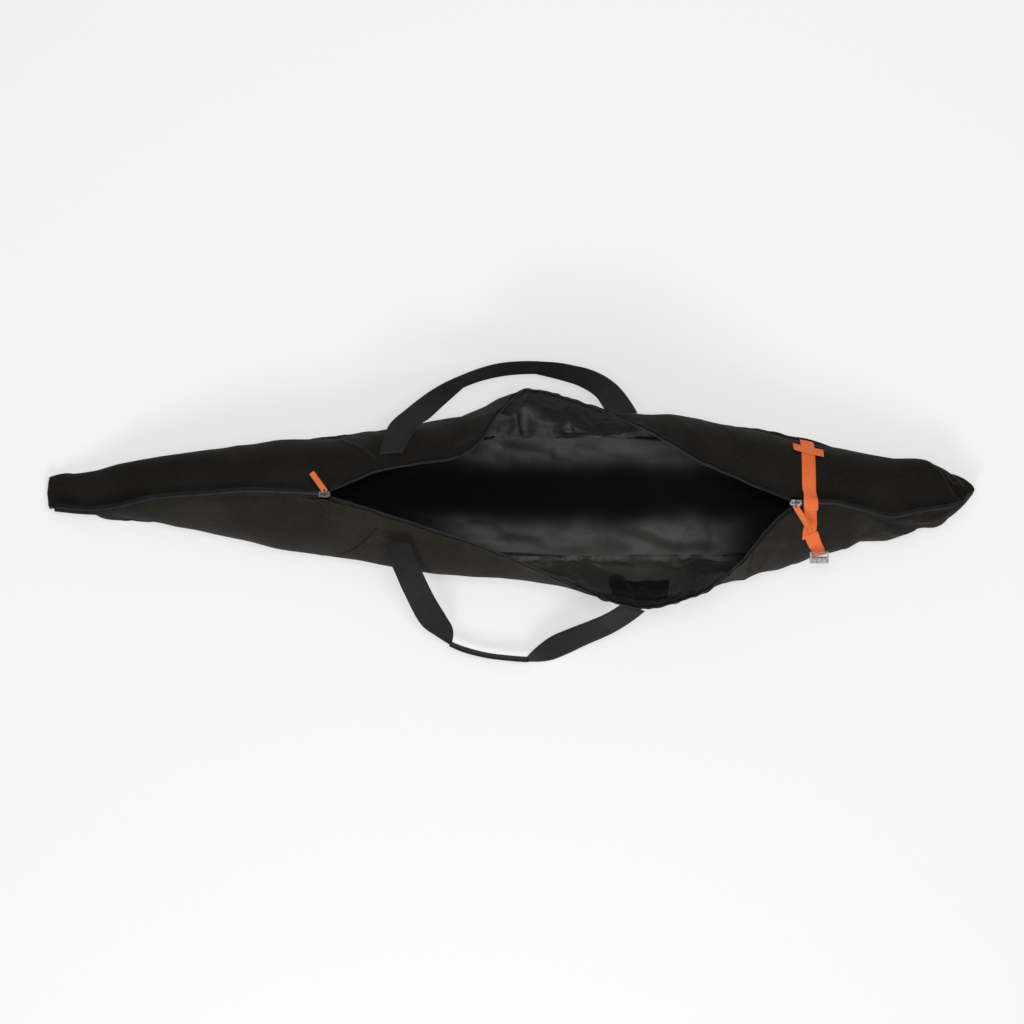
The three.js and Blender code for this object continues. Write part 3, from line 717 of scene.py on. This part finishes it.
def lining_grid(side):
    """Like wall_grid, for the lining: a step in from the wall, sagged and crumpled more."""
    wall_xs, face, normal, _ = WALLS[side]
    part = (cut(wall_xs, *LINING_ENDS), slice(0, LINING_ROWS))
    xs, face, normal = wall_xs[part[0]], face[part], normal[part]
    vs = np.linspace(0, 1, WALL_ROWS)[:LINING_ROWS]
    depth = 3.2 + 9.5 * smooth(0.0, 0.08, vs) * (1 - smooth(0.72, 0.97, vs))
    points = face - normal * depth[None, :, None]
    coarse = points[::2, ::2]
    sagged = cloth_sag(side + "_lining_sag", coarse, hold=0.012, growth=0.05, stiff=0.6)
    move = resample(capped(sagged - coarse, LINING_SAG), len(xs), LINING_ROWS)
    outward = np.sum(move * normal, axis=-1, keepdims=True)
    # the cloth may hang into the bag but not push out through the wall
    room = np.clip(depth - 4.5, 0, 5)[None, :, None]
    move = move - normal * np.maximum(outward - room, 0)
    x, from_foot, to_zip = lengths(xs, points)
    seed = SEED + (100 if side == "far" else 140)
    crumple = folds((x + 0.4 * to_zip) / 88, to_zip / 60, seed)
    crumple = crumple + 0.5 * noise(x / 40, to_zip / 36, seed + 4)
    gathers = noise(x / 15, to_zip / 80, seed + 6) * np.exp(-to_zip / 30)
    middle = smooth(0, 45, to_zip) * smooth(0, 25, from_foot)
    lift = (1.6 * crumple * middle + 1.0 * gathers) * smooth(0, 12, to_zip)
    points = points + move - normal * np.maximum(lift, -1.5)[..., None]
    points[..., 2] = np.maximum(points[..., 2], 7.0)
    return xs, points, grid_normals(points, side), pair(x, to_zip)


LININGS = {side: lining_grid(side) for side in FORM}


def build_linings():
    for side in FORM:
        xs, points, normals, uv = LININGS[side]
        for name, start, end, bodies in mouth_stretches(side, *LINING_ENDS):
            part = cut(xs, start, end)
            inner, normal = points[part], normals[part]
            outer = inner + normal * LINING_THICK
            piece = f"{side}_lining_{name}"
            lining = thick_sheet(piece, outer, inner, uv[part], LINING, normal, side == "far")
            nodes = (f"{side}_mouth_{layer}_{name}" for layer in ("lining", "foam"))
            place(lining, bodies, "lining_fabric", *nodes)


build_linings()


# ---- the floor of the bag: underside and padded lining ----
FLOOR_ROWS, FLOOR_STEP = 36, 8.0
FOOT_V, MIDDLE_V, MIDDLE_Y = 218, 318, 8


def from_edge(count):
    """How many steps each of count rows is from the nearer edge."""
    return np.minimum(np.arange(count), np.arange(count)[::-1])


def flat_grid(start, end, inset, z, tuck=0.0):
    """A flat grid between the base seams. tuck takes it on under the walls that lie open."""
    xs = stepped(start, end, FLOOR_STEP)
    edges = {}
    for side, form in FORM.items():
        under = tuck * smooth(35, 62, along(form["open"], xs))
        edges[side] = form["sign"] * (along(form["base"], xs) - inset + under)
    share = np.linspace(0, 1, FLOOR_ROWS)
    y = edges["near"][:, None] * (1 - share) + edges["far"][:, None] * share
    x = np.broadcast_to(xs[:, None], y.shape)
    return np.stack([x, y, np.full_like(y, z)], -1)


def turn_up(x, y):
    """How far the padded floor lining climbs each wall's foot, more where the wall stands steep."""
    rise = np.zeros_like(y)
    for side, form in FORM.items():
        seam = along(form["base"], x) * form["sign"]
        inside = np.maximum(0, (seam - y) * form["sign"])
        steep = smooth(60, 10, along(form["open"], x))
        rise += 13 * steep * (1 - smooth(0, 30, inside))
    return rise


def build_underside():
    under = flat_grid(LEFT_END + 2, RIGHT_END - 2, -2.0, 0.4)
    x, y = under[..., 0], under[..., 1]
    edge = from_edge(FLOOR_ROWS)[None, :]
    top = under + 0
    top[..., 2] = 3.0 + 1.4 * smooth(0, 4, edge) + 0.4 * noise(x / 60, y / 40, SEED + 60)
    base = thick_sheet("base_shell", top, under, under[..., :2], BASE_SHELL)
    place(base, None, "shell_fabric", "base_panel")


def build_floor():
    """The padded floor. Returns its upper face, for what is sewn on it."""
    low = flat_grid(*LINING_ENDS, 1.0, 5.0, tuck=9.0)
    x, y = low[..., 0], low[..., 1]
    soft = 3.2 * folds((x + y) / 120, y / 60, SEED + 61) + 1.8 * noise(x / 44, y / 40, SEED + 62)
    # its edges turn up, so that it runs on smoothly into the walls' linings
    rise = turn_up(x, y)
    high = low + 0
    high[..., 2] = 7.4 + rise + (2.2 + soft) * smooth(0, 7, from_edge(FLOOR_ROWS)[None, :])
    low[..., 2] += rise
    # its V goes on from the walls' own, up to the bag's middle line, where the lining's painted shade
    # is darkest
    middle = 1 - smooth(0, 88, np.abs(y - MIDDLE_Y))
    cloth = pair(x, FOOT_V + (MIDDLE_V - FOOT_V) * middle)
    place(thick_sheet("base_lining", high, low, cloth, LINING), None, "lining_fabric", "base_foam")
    return high


build_underside()
FLOOR = build_floor()


# ---- zip: tapes and teeth along the lips, and the shut lengths at each end ----
TAPE_IN, TAPE_OUT, TAPE_BACK = 13.0, -2.4, 1.1
ZIP_STEP, TOOTH_PITCH = 4.0, 2.6
BOX_CORNERS = np.array([[x, y, z] for x in (-1, 1) for y in (-1, 1) for z in (-1, 1)], float)
BOX_FACES = np.array([
    [0, 1, 3, 2], [4, 6, 7, 5], [0, 4, 5, 1], [2, 3, 7, 6], [0, 2, 6, 4], [1, 5, 7, 3],
])


def boxes(name, centres, axes, size, material):
    """Small bevelled blocks in one mesh. axes holds each block's three directions as rows."""
    half = np.asarray(size) / 2
    local = BOX_CORNERS * half
    verts = centres[:, None, :] + np.einsum("kc,nca->nka", local, axes)
    count = len(centres)
    faces = (BOX_FACES[None] + 8 * np.arange(count)[:, None, None]).reshape(-1, 4)
    uv = np.repeat(centres[:, None, :2], 8, axis=1).reshape(-1, 2)
    obj = mesh_object(name, verts.reshape(-1, 3), faces, uv, material)
    bevel = obj.modifiers.new("rounded", "BEVEL")
    bevel.width = float(min(half)) * 0.5 * MM
    bevel.segments = 2
    return obj


def lip_frames(side, xs):
    """Points on a lip with the directions along it, up out of the cloth's edge, and outward."""
    grid_xs, points, normals, _ = WALLS[side]
    rows = (points[:, -1], points[:, -3], normals[:, -2])
    lip, below, face = (points_at(xs, grid_xs, row) for row in rows)
    run = unit(np.gradient(lip, axis=0))
    up = unit(lip - below)
    out = unit(np.cross(up, run))
    return lip, run, up, out * np.sign(np.sum(out * face, axis=-1, keepdims=True))


def shut_frames(xs, lift):
    """Points over the shut zip with the directions along it, across it, and up."""
    line = np.stack([xs, along(ZIP_Y, xs), along(RIDGE, xs) + lift], -1)
    run = unit(np.gradient(line, axis=0))
    across = unit(np.cross(np.array([0, 0, 1.0]), run))
    return line, run, across, unit(np.cross(run, across))


def tape(name, xs, line, across, off, rows, high, low, flip=False):
    """A strip along a line of points. Its rows lie across it, between two heights off its face."""
    middle = line[:, None] + across[:, None] * rows[None, :, None]
    outer, inner = (middle + off[:, None] * height[None, :, None] for height in (high, low))
    return thick_sheet(name, outer, inner, pair(xs[:, None], rows[None, :]), TAPE, flip=flip)


def build_mouth_zip(side):
    rows = np.linspace(-TAPE_IN, TAPE_OUT, 9)
    # the tape is thickest along the cord beside the teeth
    half = 0.4 + 0.9 * np.exp(-((rows - TAPE_OUT + 1.5) / 1.3) ** 2)
    for name, start, end, bodies in mouth_stretches(side, LEFT_SLIDER + 6, RIGHT_SLIDER - 6):
        xs = stepped(start, end, ZIP_STEP)
        lip, run, up, out = lip_frames(side, xs)
        high, low = half - TAPE_BACK, -half - TAPE_BACK
        strip = tape(f"{side}_tape_{name}", xs, lip, up, out, rows, high, low, side == "far")
        place(strip, bodies, "zip_nylon", f"{side}_zip_tape_{name}")
        xs = np.arange(start + 2, end - 2, TOOTH_PITCH)
        lip, run, up, out = lip_frames(side, xs)
        centres = lip + up * (TAPE_OUT + 0.8) - out * TAPE_BACK
        axes = np.stack([run, up, out], 1)
        teeth = boxes(f"{side}_teeth_{name}", centres, axes, (1.5, 3.4, 2.6), TEETH)
        place(bake(teeth), bodies, "zip_nylon")


def bake(obj):
    """Turns an object's modifiers into mesh."""
    depsgraph = bpy.context.evaluated_depsgraph_get()
    mesh = bpy.data.meshes.new_from_object(obj.evaluated_get(depsgraph))
    old = obj.data
    obj.modifiers.clear()
    obj.data = mesh
    bpy.data.meshes.remove(old)
    return obj


def build_shut_zip(name, start, end):
    rows = np.linspace(-8.0, 8.0, 13)
    crown = 3.0 - 0.035 * rows ** 2 + 0.9 * np.exp(-((np.abs(rows) - 3.6) / 0.9) ** 2)
    xs = stepped(start, end, ZIP_STEP)
    line, run, across, up = shut_frames(xs, 0)
    strip = tape(f"zip_tape_{name}", xs, line, across, up, rows, crown, crown - 1.4)
    place(strip, None, "zip_nylon", f"zip_tape_shut_{name}")
    xs = np.arange(start + 3, end - 3, TOOTH_PITCH / 2)
    line, run, across, up = shut_frames(xs, 3.4)
    swing = np.where(np.arange(len(xs)) % 2 == 0, 0.7, -0.7)[:, None]
    axes = np.stack([run, across, up], 1)
    coil = boxes(f"zip_coil_{name}", line + across * swing, axes, (1.05, 4.0, 2.2), TEETH)
    place(coil, None, "zip_nylon", f"zip_coil_shut_{name}")


for side in FORM:
    build_mouth_zip(side)
build_shut_zip("left", LEFT_END + 12, LEFT_SLIDER - 8)
build_shut_zip("right", RIGHT_SLIDER + 8, RIGHT_END - 24)


# ---- ribbons and stitches ----
# A ribbon's long edges are this share of its full thickness.
RIM_SHARE = 0.35


def curve(points, steps):
    """A smooth line through three or more points, evenly stepped by length."""
    points = np.asarray(points, float)
    gaps = np.sqrt(np.linalg.norm(np.diff(points, axis=0), axis=1))
    knots = np.concatenate([[0], np.cumsum(gaps)])
    tangents = np.gradient(points, knots, axis=0, edge_order=2)
    t = np.linspace(0, knots[-1], steps * 4)
    i = np.clip(np.searchsorted(knots, t, side="right") - 1, 0, len(points) - 2)
    w = (knots[i + 1] - knots[i])[:, None]
    fine = hermite(i, (t - knots[i])[:, None] / w, w, points, tangents)
    length = travel(fine)
    return points_at(np.linspace(0, length[-1], steps), length, fine)


def between(a, b, share):
    """A grid of points between two lines of points."""
    return a[:, None] * (1 - share[None, :, None]) + b[:, None] * share[None, :, None]


def ribbon(name, edge_a, edge_b, thickness, material, steps, columns=9):
    """A strap between two edge lines, given as lists of (x, y, z) in mm. Its UV runs along it."""
    a, b = curve(edge_a, steps), curve(edge_b, steps)
    share = np.linspace(0, 1, columns)
    face = between(a, b, share)
    half = np.full(columns, thickness / 2)
    half[[0, -1]] *= RIM_SHARE
    off = unit(np.cross(np.gradient(face, axis=0), np.gradient(face, axis=1))) * half[None, :, None]
    width = np.linalg.norm(b - a, axis=1).mean()
    cloth = pair(travel((a + b) / 2)[:, None], ((share - 0.5) * width)[None, :])
    return thick_sheet(name, face + off, face - off, cloth, material)


def stitches(name, path, normals, material, length=3.2, gap=1.4, thick=0.7):
    """Short raised threads along a path of points in mm."""
    line = travel(path)
    places = np.arange(length / 2, line[-1] - length / 2, length + gap)
    centre, ahead = points_at(places, line, path), points_at(places + 0.5, line, path)
    up = unit(points_at(places, line, normals))
    run = unit(ahead - centre)
    axes = np.stack([run, unit(np.cross(up, run)), up], 1)
    return boxes(name, centre + up * thick * 0.2, axes, (length, thick, thick), material)


def join(name, objs, bodies, slot):
    """Makes one piece of several, with its modifiers made into mesh."""
    parts = [bake(o) if o.modifiers else o for o in objs]
    first = parts[0]
    with bpy.context.temp_override(active_object=first, selected_editable_objects=parts):
        bpy.ops.object.join()
    first.name = name
    first.data.name = name
    return place(first, bodies, slot)


def stitch_rows(name, paths, up, thread, bodies, **size):
    """Rows of stitches as one piece."""
    rows = [stitches(name, path, up, thread, **size) for path in paths]
    return join(name, rows, bodies, "orange_webbing")


def on_grid(xs, points, normals, x, v, lift):
    """Points standing off a grid of cloth, in mm. v is the share of the way up it."""
    x, v = np.broadcast_arrays(np.asarray(x, float), np.asarray(v, float))
    rows, columns = (size - 1 for size in points.shape[:2])
    at = np.clip((x - xs[0]) / (xs[1] - xs[0]), 0, rows), np.clip(v * columns, 0, columns)
    return sample(points, *at) + unit(sample(normals, *at)) * np.asarray(lift, float)[..., None]


def on_cloth(side, x, v, lift):
    return on_grid(*WALLS[side][:3], x, v, lift)


def on_lining(side, x, v, lift):
    """Lift is away from the wall, into the bag."""
    xs, points, normals, _ = LININGS[side]
    return on_grid(xs, points, -normals, x, v, lift)


def on_floor(side, x, share, lift):
    """On the floor's padded lining, share of the way from its near edge to its far one."""
    up = np.zeros_like(FLOOR)
    up[..., 2] = 1.0
    return on_grid(FLOOR[:, 0, 0], FLOOR, up, x, share, lift)


# ---- carry handles: each is one 50 mm webbing, folded in half at the grip ----
# Edge lines of the webbing, left foot to right foot: (outer edge), (inner edge), in mm.
HANDLES = {
    "far": {
        "left_leg": (
            [
                (-251, 79, 163), (-243, 108, 160), (-232, 136, 143),
                (-201, 165, 118), (-148, 205, 92), (-95, 231, 78),
            ],
            [
                (-207, 82, 166), (-196, 104, 164), (-179, 131, 148),
                (-156, 148, 122), (-132, 171, 86), (-91, 208, 70),
            ],
        ),
        "grip": (
            [(-97, 230, 78), (-61, 244, 72), (-27, 253, 68), (10, 257, 66), (53, 257, 68)],
            [(-92, 207, 70), (-61, 219, 64), (-23, 228, 60), (10, 232, 58), (49, 233, 60)],
        ),
        "right_leg": (
            [
                (48, 257, 68), (91, 254, 74), (112, 250, 82), (148, 241, 100),
                (179, 226, 122), (206, 203, 150), (237, 157, 180),
            ],
            [
                (45, 233, 56), (91, 222, 52), (120, 213, 62), (144, 201, 82),
                (161, 187, 108), (170, 172, 140), (181, 154, 182),
            ],
        ),
    },
    "near": {
        "left_leg": (
            [
                (-249, -89, 160), (-236, -112, 158), (-222, -144, 146), (-205, -184, 112),
                (-172, -246, 66), (-146, -266, 46), (-118, -284, 34),
            ],
            [
                (-194, -86, 166), (-184, -112, 160), (-167, -150, 138), (-148, -190, 104),
                (-124, -231, 62), (-113, -252, 44), (-114, -275, 24),
            ],
        ),
        "grip": (
            [(-120, -285, 36), (-93, -297, 34), (-50, -308, 33), (0, -314, 33), (32, -316, 34)],
            [(-116, -279, 12), (-90, -289, 10), (-48, -300, 9), (0, -306, 9), (30, -308, 10)],
        ),
        "right_leg": (
            [
                (28, -308, 36), (45, -290, 40), (74, -268, 46), (110, -252, 58),
                (150, -236, 82), (180, -222, 112), (206, -205, 140),
            ],
            [
                (30, -316, 10), (72, -314, 12), (100, -304, 14), (140, -285, 26),
                (190, -262, 58), (225, -240, 92), (252, -218, 124),
            ],
        ),
    },
}
LEG_THICK, GRIP_THICK = 2.0, 4.6


def build_handle(side):
    loop = f"{side}_handle"
    for part, edges in HANDLES[side].items():
        thick = GRIP_THICK if part == "grip" else LEG_THICK
        piece = ribbon(f"{side}_webbing_{part}", *edges, thick, HANDLE, steps=48)
        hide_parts(f"{loop}_{part}")
        if part == "grip":
            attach(piece, loop)
            continue
        foot = f"{loop}_{part.replace('leg', 'foot')}"
        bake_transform(piece)
        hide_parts(foot)


for side in FORM:
    build_handle(side)


# ---- compression strap ----
STRAP_X, STRAP_THICK = 565.0, 1.8
STRAP_EDGES = (-13.0, 13.0)
KEEPER_V, KEEPER_LEAN = 0.465, 0.0009
UP = np.tile([0.0, 0.0, 1.0], (6, 1))


def strap_edges(side, vs, lift, shift=0.0):
    """The strap's two edge lines on a wall, between heights."""
    return [on_cloth(side, STRAP_X + shift + edge, vs, lift) for edge in STRAP_EDGES]


def over_zip(vs):
    """How far the strap rises to pass over the zip."""
    return 7.6 * np.exp(-((1 - vs) / 0.075) ** 2)


def build_strap():
    # over the far wall and the zip to the hem on the near wall
    far_vs, near_vs = np.linspace(0.10, 0.985, 20), np.linspace(0.96, 0.68, 8)
    far = strap_edges("far", far_vs, 1.6 + over_zip(far_vs))
    near = strap_edges("near", near_vs, 1.8 + over_zip(near_vs))
    edges = [np.concatenate(lines) for lines in zip(far, near)]
    band = ribbon("strap_over_top", *edges, STRAP_THICK, ORANGE, steps=120)
    place(band, None, "orange_webbing", "strap_band")
    # a slanted length runs on from the hem to the buckle's bar
    vs = np.linspace(0.72, 0.50, 5)
    edges = strap_edges("near", vs, 3.2, 3 + 13 * (0.72 - vs) / 0.22)
    bar = np.mean(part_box("buckle_frame"), axis=0) / MM + [0.0, 6.0, 6.5]
    edges = [np.concatenate([line, [bar + [x, 0, 0]]]) for line, x in zip(edges, STRAP_EDGES)]
    slant = ribbon("strap_to_buckle", *edges, STRAP_THICK, ORANGE, steps=40)
    place(slant, None, "orange_webbing", "strap_slant")
    vs = np.linspace(0.385, 0.27, 5)
    edges = strap_edges("near", vs, 5.4, 18 + 3 * (0.38 - vs) / 0.12)
    end = ribbon("strap_free_end", *edges, 2.0, ORANGE, steps=20)
    place(end, "strap_end", "orange_webbing", "strap_end")


def build_keeper():
    """A short doubled band sewn square across the strap near its top."""
    x = np.linspace(STRAP_X - 29, STRAP_X + 29, 8)
    middle = KEEPER_V + KEEPER_LEAN * (x - STRAP_X)
    edges = [on_cloth("far", x, middle + half, 3.9) for half in (-0.055, 0.055)]
    keeper = ribbon("keeper_band", *edges, 2.2, ORANGE, steps=40)
    place(keeper, "strap_keeper", "orange_webbing", "strap_keeper")
    vs = np.linspace(KEEPER_V - 0.042, KEEPER_V + 0.042, len(UP))
    rows = [
        on_cloth("far", STRAP_X + across, vs + KEEPER_LEAN * across, 5.0)
        for across in (-26, -17, 17, 26)
    ]
    stitch_rows("strap_keeper_stitches", rows, UP, ORANGE_THREAD, "strap_keeper")


def build_strap_hem():
    """Two rows of stitches that hold the strap at the near wall's hem."""
    x = np.linspace(STRAP_X - 11, STRAP_X + 11, len(UP))
    rows = [on_cloth("near", x, v, 3.6) for v in (0.70, 0.735)]
    stitch_rows("strap_stitches", rows, UP, ORANGE_THREAD, None)


build_strap()
build_keeper()
build_strap_hem()


# ---- the squared left end, the right end's tip and the tail folded over above it ----
def end_cap(name, x, outward):
    """A cloth end between the two walls' last sections, bulging a little and creased."""
    v = np.linspace(0, 1, 18)
    share = np.linspace(0, 1, 16)
    face = between(on_cloth("near", x, v, 0.0), on_cloth("far", x, v, 0.0), share)
    y, z = face[..., 1], face[..., 2]
    across = np.sin(np.pi * share)
    bulge = 3.2 * across * np.sin(np.pi * np.clip(v, 0.03, 0.97))[:, None]
    bulge = bulge + 0.9 * folds(y / 16, z / 14, SEED + 200) * across
    outer, inner = face + 0, face + 0
    outer[..., 0] += outward * np.clip(bulge, 0, 4.5)
    inner[..., 0] -= outward * 1.2
    cap = thick_sheet(name, outer, inner, face[..., 1:], BASE_SHELL, flip=outward > 0)
    place(cap, None, "shell_fabric", name + "_panel")


TAIL_START, TAIL_BOTTOM, TAIL_TOP = 690, 0.26, 0.955


def tail_edge(v):
    """Where the folded-over tail ends, from its foot on the far side to the zip."""
    return 786 + 71 * np.clip((v - 0.28) / 0.68, 0, 1) ** 0.8


def build_tail():
    v = np.linspace(TAIL_BOTTOM, TAIL_TOP, 34)[None, :]
    share = np.linspace(0, 1, 44)[:, None]
    x = TAIL_START + (tail_edge(v) - TAIL_START) * share
    soft = 0.8 * noise(x / 30, v * 5, SEED + 210)
    rise = -3.0 + 8.6 * smooth(0.05, 0.9, share) + soft * smooth(0.2, 0.5, share)
    rim = 1 - 0.5 * np.exp(-((1 - share) / 0.03) ** 2)
    outer = on_cloth("far", x, v, rise * rim)
    inner = on_cloth("far", x, v, rise - 3.6)
    tail = thick_sheet("folded_tail", outer, inner, pair(x, 60 + 100 * v), SHADED_FAR_SHELL, flip=True)
    place(tail, None, "shell_fabric", "tail_fold")


end_cap("left_end", LEFT_END, -1)
end_cap("right_end", RIGHT_END, 1)
build_tail()


# ---- seams, facings and the sewn patch ----
def seam(name, side, start, end, bodies, place_on=on_cloth, rib=True):
    """A sewn seam between two (x, v) places: stitches, and with rib a narrow raised cord too."""
    count = 24
    x, v = (np.linspace(a, b, count) for a, b in zip(start, end))
    parts = []
    if rib:
        edges = [place_on(side, x + half, v, 0.7) for half in (-1.3, 1.3)]
        parts.append(ribbon(name + "_cord", *edges, 1.5, SEAM_EDGE, steps=count * 2, columns=5))
    for shift in ((3.6, 6.2) if rib else (0.0,)):
        path = place_on(side, x + shift, v, 0.7)
        up = unit(place_on(side, x + shift, v, 2.0) - path)
        parts.append(stitches(f"{name}_thread", path, up, THREAD, 3.4, 1.6, 0.75))
    join(name, parts, bodies, "shell_fabric" if rib else "lining_fabric")


def stretch_of(side, x):
    """The bodies listed for the wall's stretch at x."""
    return next(row[3] for row in STRETCHES[side] if row[1] <= x <= row[2])


def build_seams():
    for name, side, start, end in (
        ("far_cradle_seam", "far", (-330, 0.38), (-262, 0.86)),
        ("near_cradle_seam", "near", (-328, 0.38), (-258, 0.85)),
        ("near_right_seam", "near", (457, 0.93), (449, 0.42)),
    ):
        seam(name, side, start, end, stretch_of(side, start[0]))
    for name, start, end in (
        ("far_lining_row_1", (288, 0.66), (316, 0.30)), ("far_lining_row_2", (262, 0.70), (290, 0.30)),
    ):
        seam(name, "far", start, end, stretch_of("far", start[0]), on_lining, rib=False)
    for name, start, end in (
        ("floor_row_1", (292, 0.30), (264, 0.05)), ("floor_row_2", (342, 0.30), (311, 0.04)),
    ):
        seam(name, "near", start, end, None, on_floor, rib=False)


# How wide each facing is, in mm, from the zip tape down to the lining.
FACINGS = {
    "far": [(-355, 5), (-60, 12), (40, 19), (150, 9), (300, 7), (537, 5)],
    "near": [(-355, 5), (0, 8), (240, 11), (400, 8), (537, 5)],
}
LINING_LENGTH = 230


def build_facing(side):
    """A band of shell cloth inside a lip."""
    for name, start, end, bodies in mouth_stretches(side, LEFT_SLIDER + 4, RIGHT_SLIDER - 4):
        x = stepped(start, end, ZIP_STEP)[:, None]
        share = np.linspace(0, 1, 9)[None, :]
        v = 1 - share * along(FACINGS[side], x) / LINING_LENGTH
        face, back = (on_lining(side, x, v, lift - 0.5 * share) for lift in (1.3, 0.1))
        cloth = pair(x, 14 + 10 * share)
        strip = thick_sheet(f"{side}_facing_{name}", face, back, cloth, FACING, flip=side == "near")
        place(strip, bodies, "shell_fabric")


def build_patch():
    """The patch sewn on the near lining: flat at its edges, puffed and creased inside them."""
    x = np.linspace(186, 300, 30)[:, None]
    v = np.linspace(0.30, 0.80, 16)[None, :]
    edge = np.minimum(from_edge(30)[:, None], from_edge(16)[None, :])
    puffs = 1.1 * folds(x / 55, v * 4, SEED + 230) * smooth(0, 4, edge)
    rise = 1.6 + 1.4 * smooth(0, 2.5, edge) + puffs
    face, back = on_lining("near", x, v, rise), on_lining("near", x, v, rise - 1.6)
    patch = thick_sheet("sewn_patch", face, back, pair(x, 40 + 220 * v), PATCH)
    place(patch, stretch_of("near", 200), "shell_fabric", "inner_patch")


build_seams()
for side in FORM:
    build_facing(side)
build_patch()


# ---- pieces kept from the CAD: the metal, and the pull tabs with their stitches ----
METAL_NODES = {
    "left_slider": BLACK_METAL, "left_pull_ring": BLACK_METAL, "right_slider": DARK_STEEL,
    "right_pull_ring": STEEL, "buckle_frame": STEEL, "buckle_cam": STEEL,
}


def repaint(node, material):
    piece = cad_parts[node]
    piece.data.materials.clear()
    piece.data.materials.append(material)
    return piece


def finish_metal(node, metal):
    bevel = repaint(node, metal).modifiers.new("rounded", "BEVEL")
    bevel.width = 0.3 * MM
    bevel.segments = 2
    bevel.limit_method = "ANGLE"
    bevel.angle_limit = math.radians(40)


def tab_axes(piece):
    """A flat tab's middle, and its half sizes and directions: along it, across it, off its face."""
    points = np.array([piece.matrix_world @ v.co for v in piece.data.vertices]) / MM
    middle = (points.max(0) + points.min(0)) / 2
    _, _, axes = np.linalg.svd(points - points.mean(0))
    axes = axes * np.where(axes[:, 2:] < 0, -1, 1)
    reach = (points - middle) @ axes.T
    middle = middle + ((reach.max(0) + reach.min(0)) / 2) @ axes
    return middle, (reach.max(0) - reach.min(0)) / 2, axes


def finish_tab(node, body):
    middle, half, (ahead, across, off) = tab_axes(repaint(node, TAB))
    run = ahead * half[0] * np.linspace(-0.88, 0.88, 8)[:, None]
    edge = across * half[1] * 0.66
    rows = [middle + off * half[2] + run + side for side in (-edge, edge)]
    up = np.tile(off, (8, 1))
    stitch_rows(f"{node}_stitches", rows, up, TAB_THREAD, body, length=2.6, gap=1.2, thick=0.6)


for node, metal in METAL_NODES.items():
    finish_metal(node, metal)
finish_tab("left_pull_tab", "left_pull")
finish_tab("right_pull_tab", "right_pull")


# ---- floor, light and camera ----
FLOOR_SIZE = 18.0
FLOOR_PAINT = {
    "Base Color": (0.42, 0.42, 0.42, 1), "Emission Color": (1, 1, 1, 1), "Emission Strength": 0.50,
    "Roughness": 0.95, "Specular IOR Level": 0.0,
}
DAYLIGHT = 0.38
# Each lamp's place and width in metres, and its power in watts.
LAMPS = {
    "key": ((-0.4, -3.6, 2.8), 1.6, 85),
    "fill": ((0.6, 3.0, 4.2), 3.0, 12),
    "overhead": ((0.3, 0.3, 5.0), 1.6, 98),
}
LAMPS_AIM = Vector((0.1, 0, 0))
# The camera sees VIEW_WIDTH metres across at the height of the lips.
CAMERA_HEIGHT, CAMERA_Y, VIEW_WIDTH, LIP_HEIGHT = 12.0, -0.030, 1.9456, 0.10


def build_stage():
    bpy.ops.mesh.primitive_plane_add(size=FLOOR_SIZE, location=(0, 0, 0))
    floor = bpy.context.object
    floor.name = "floor"
    paint = bpy.data.materials.new("pale_floor")
    paint.use_nodes = True
    for key, value in FLOOR_PAINT.items():
        paint.node_tree.nodes["Principled BSDF"].inputs[key].default_value = value
    floor.data.materials.append(paint)
    world = bpy.data.worlds.new("studio")
    world.use_nodes = True
    color, strength = world.node_tree.nodes["Background"].inputs[:2]
    color.default_value = (1, 1, 1, 1)
    strength.default_value = DAYLIGHT
    bpy.context.scene.world = world


def add_to_scene(name, data, where):
    obj = bpy.data.objects.new(name, data)
    obj.location = where
    bpy.context.scene.collection.objects.link(obj)
    return obj


def build_lamps():
    for name, (where, size, power) in LAMPS.items():
        light = bpy.data.lights.new(name, "AREA")
        light.size = size
        light.energy = power
        lamp = add_to_scene(name, light, where)
        lamp.rotation_euler = (LAMPS_AIM - Vector(where)).to_track_quat("-Z", "Y").to_euler()


def build_camera():
    """Straight down, from far enough off that the bag is seen almost without perspective."""
    data = bpy.data.cameras.new("camera")
    data.lens = data.sensor_width * (CAMERA_HEIGHT - LIP_HEIGHT) / VIEW_WIDTH
    data.clip_end = 100
    bpy.context.scene.camera = add_to_scene("camera", data, (0, CAMERA_Y, CAMERA_HEIGHT))


build_stage()
build_lamps()
build_camera()
bpy.context.scene.view_settings.view_transform = "Standard"

bpy.context.view_layer.update()
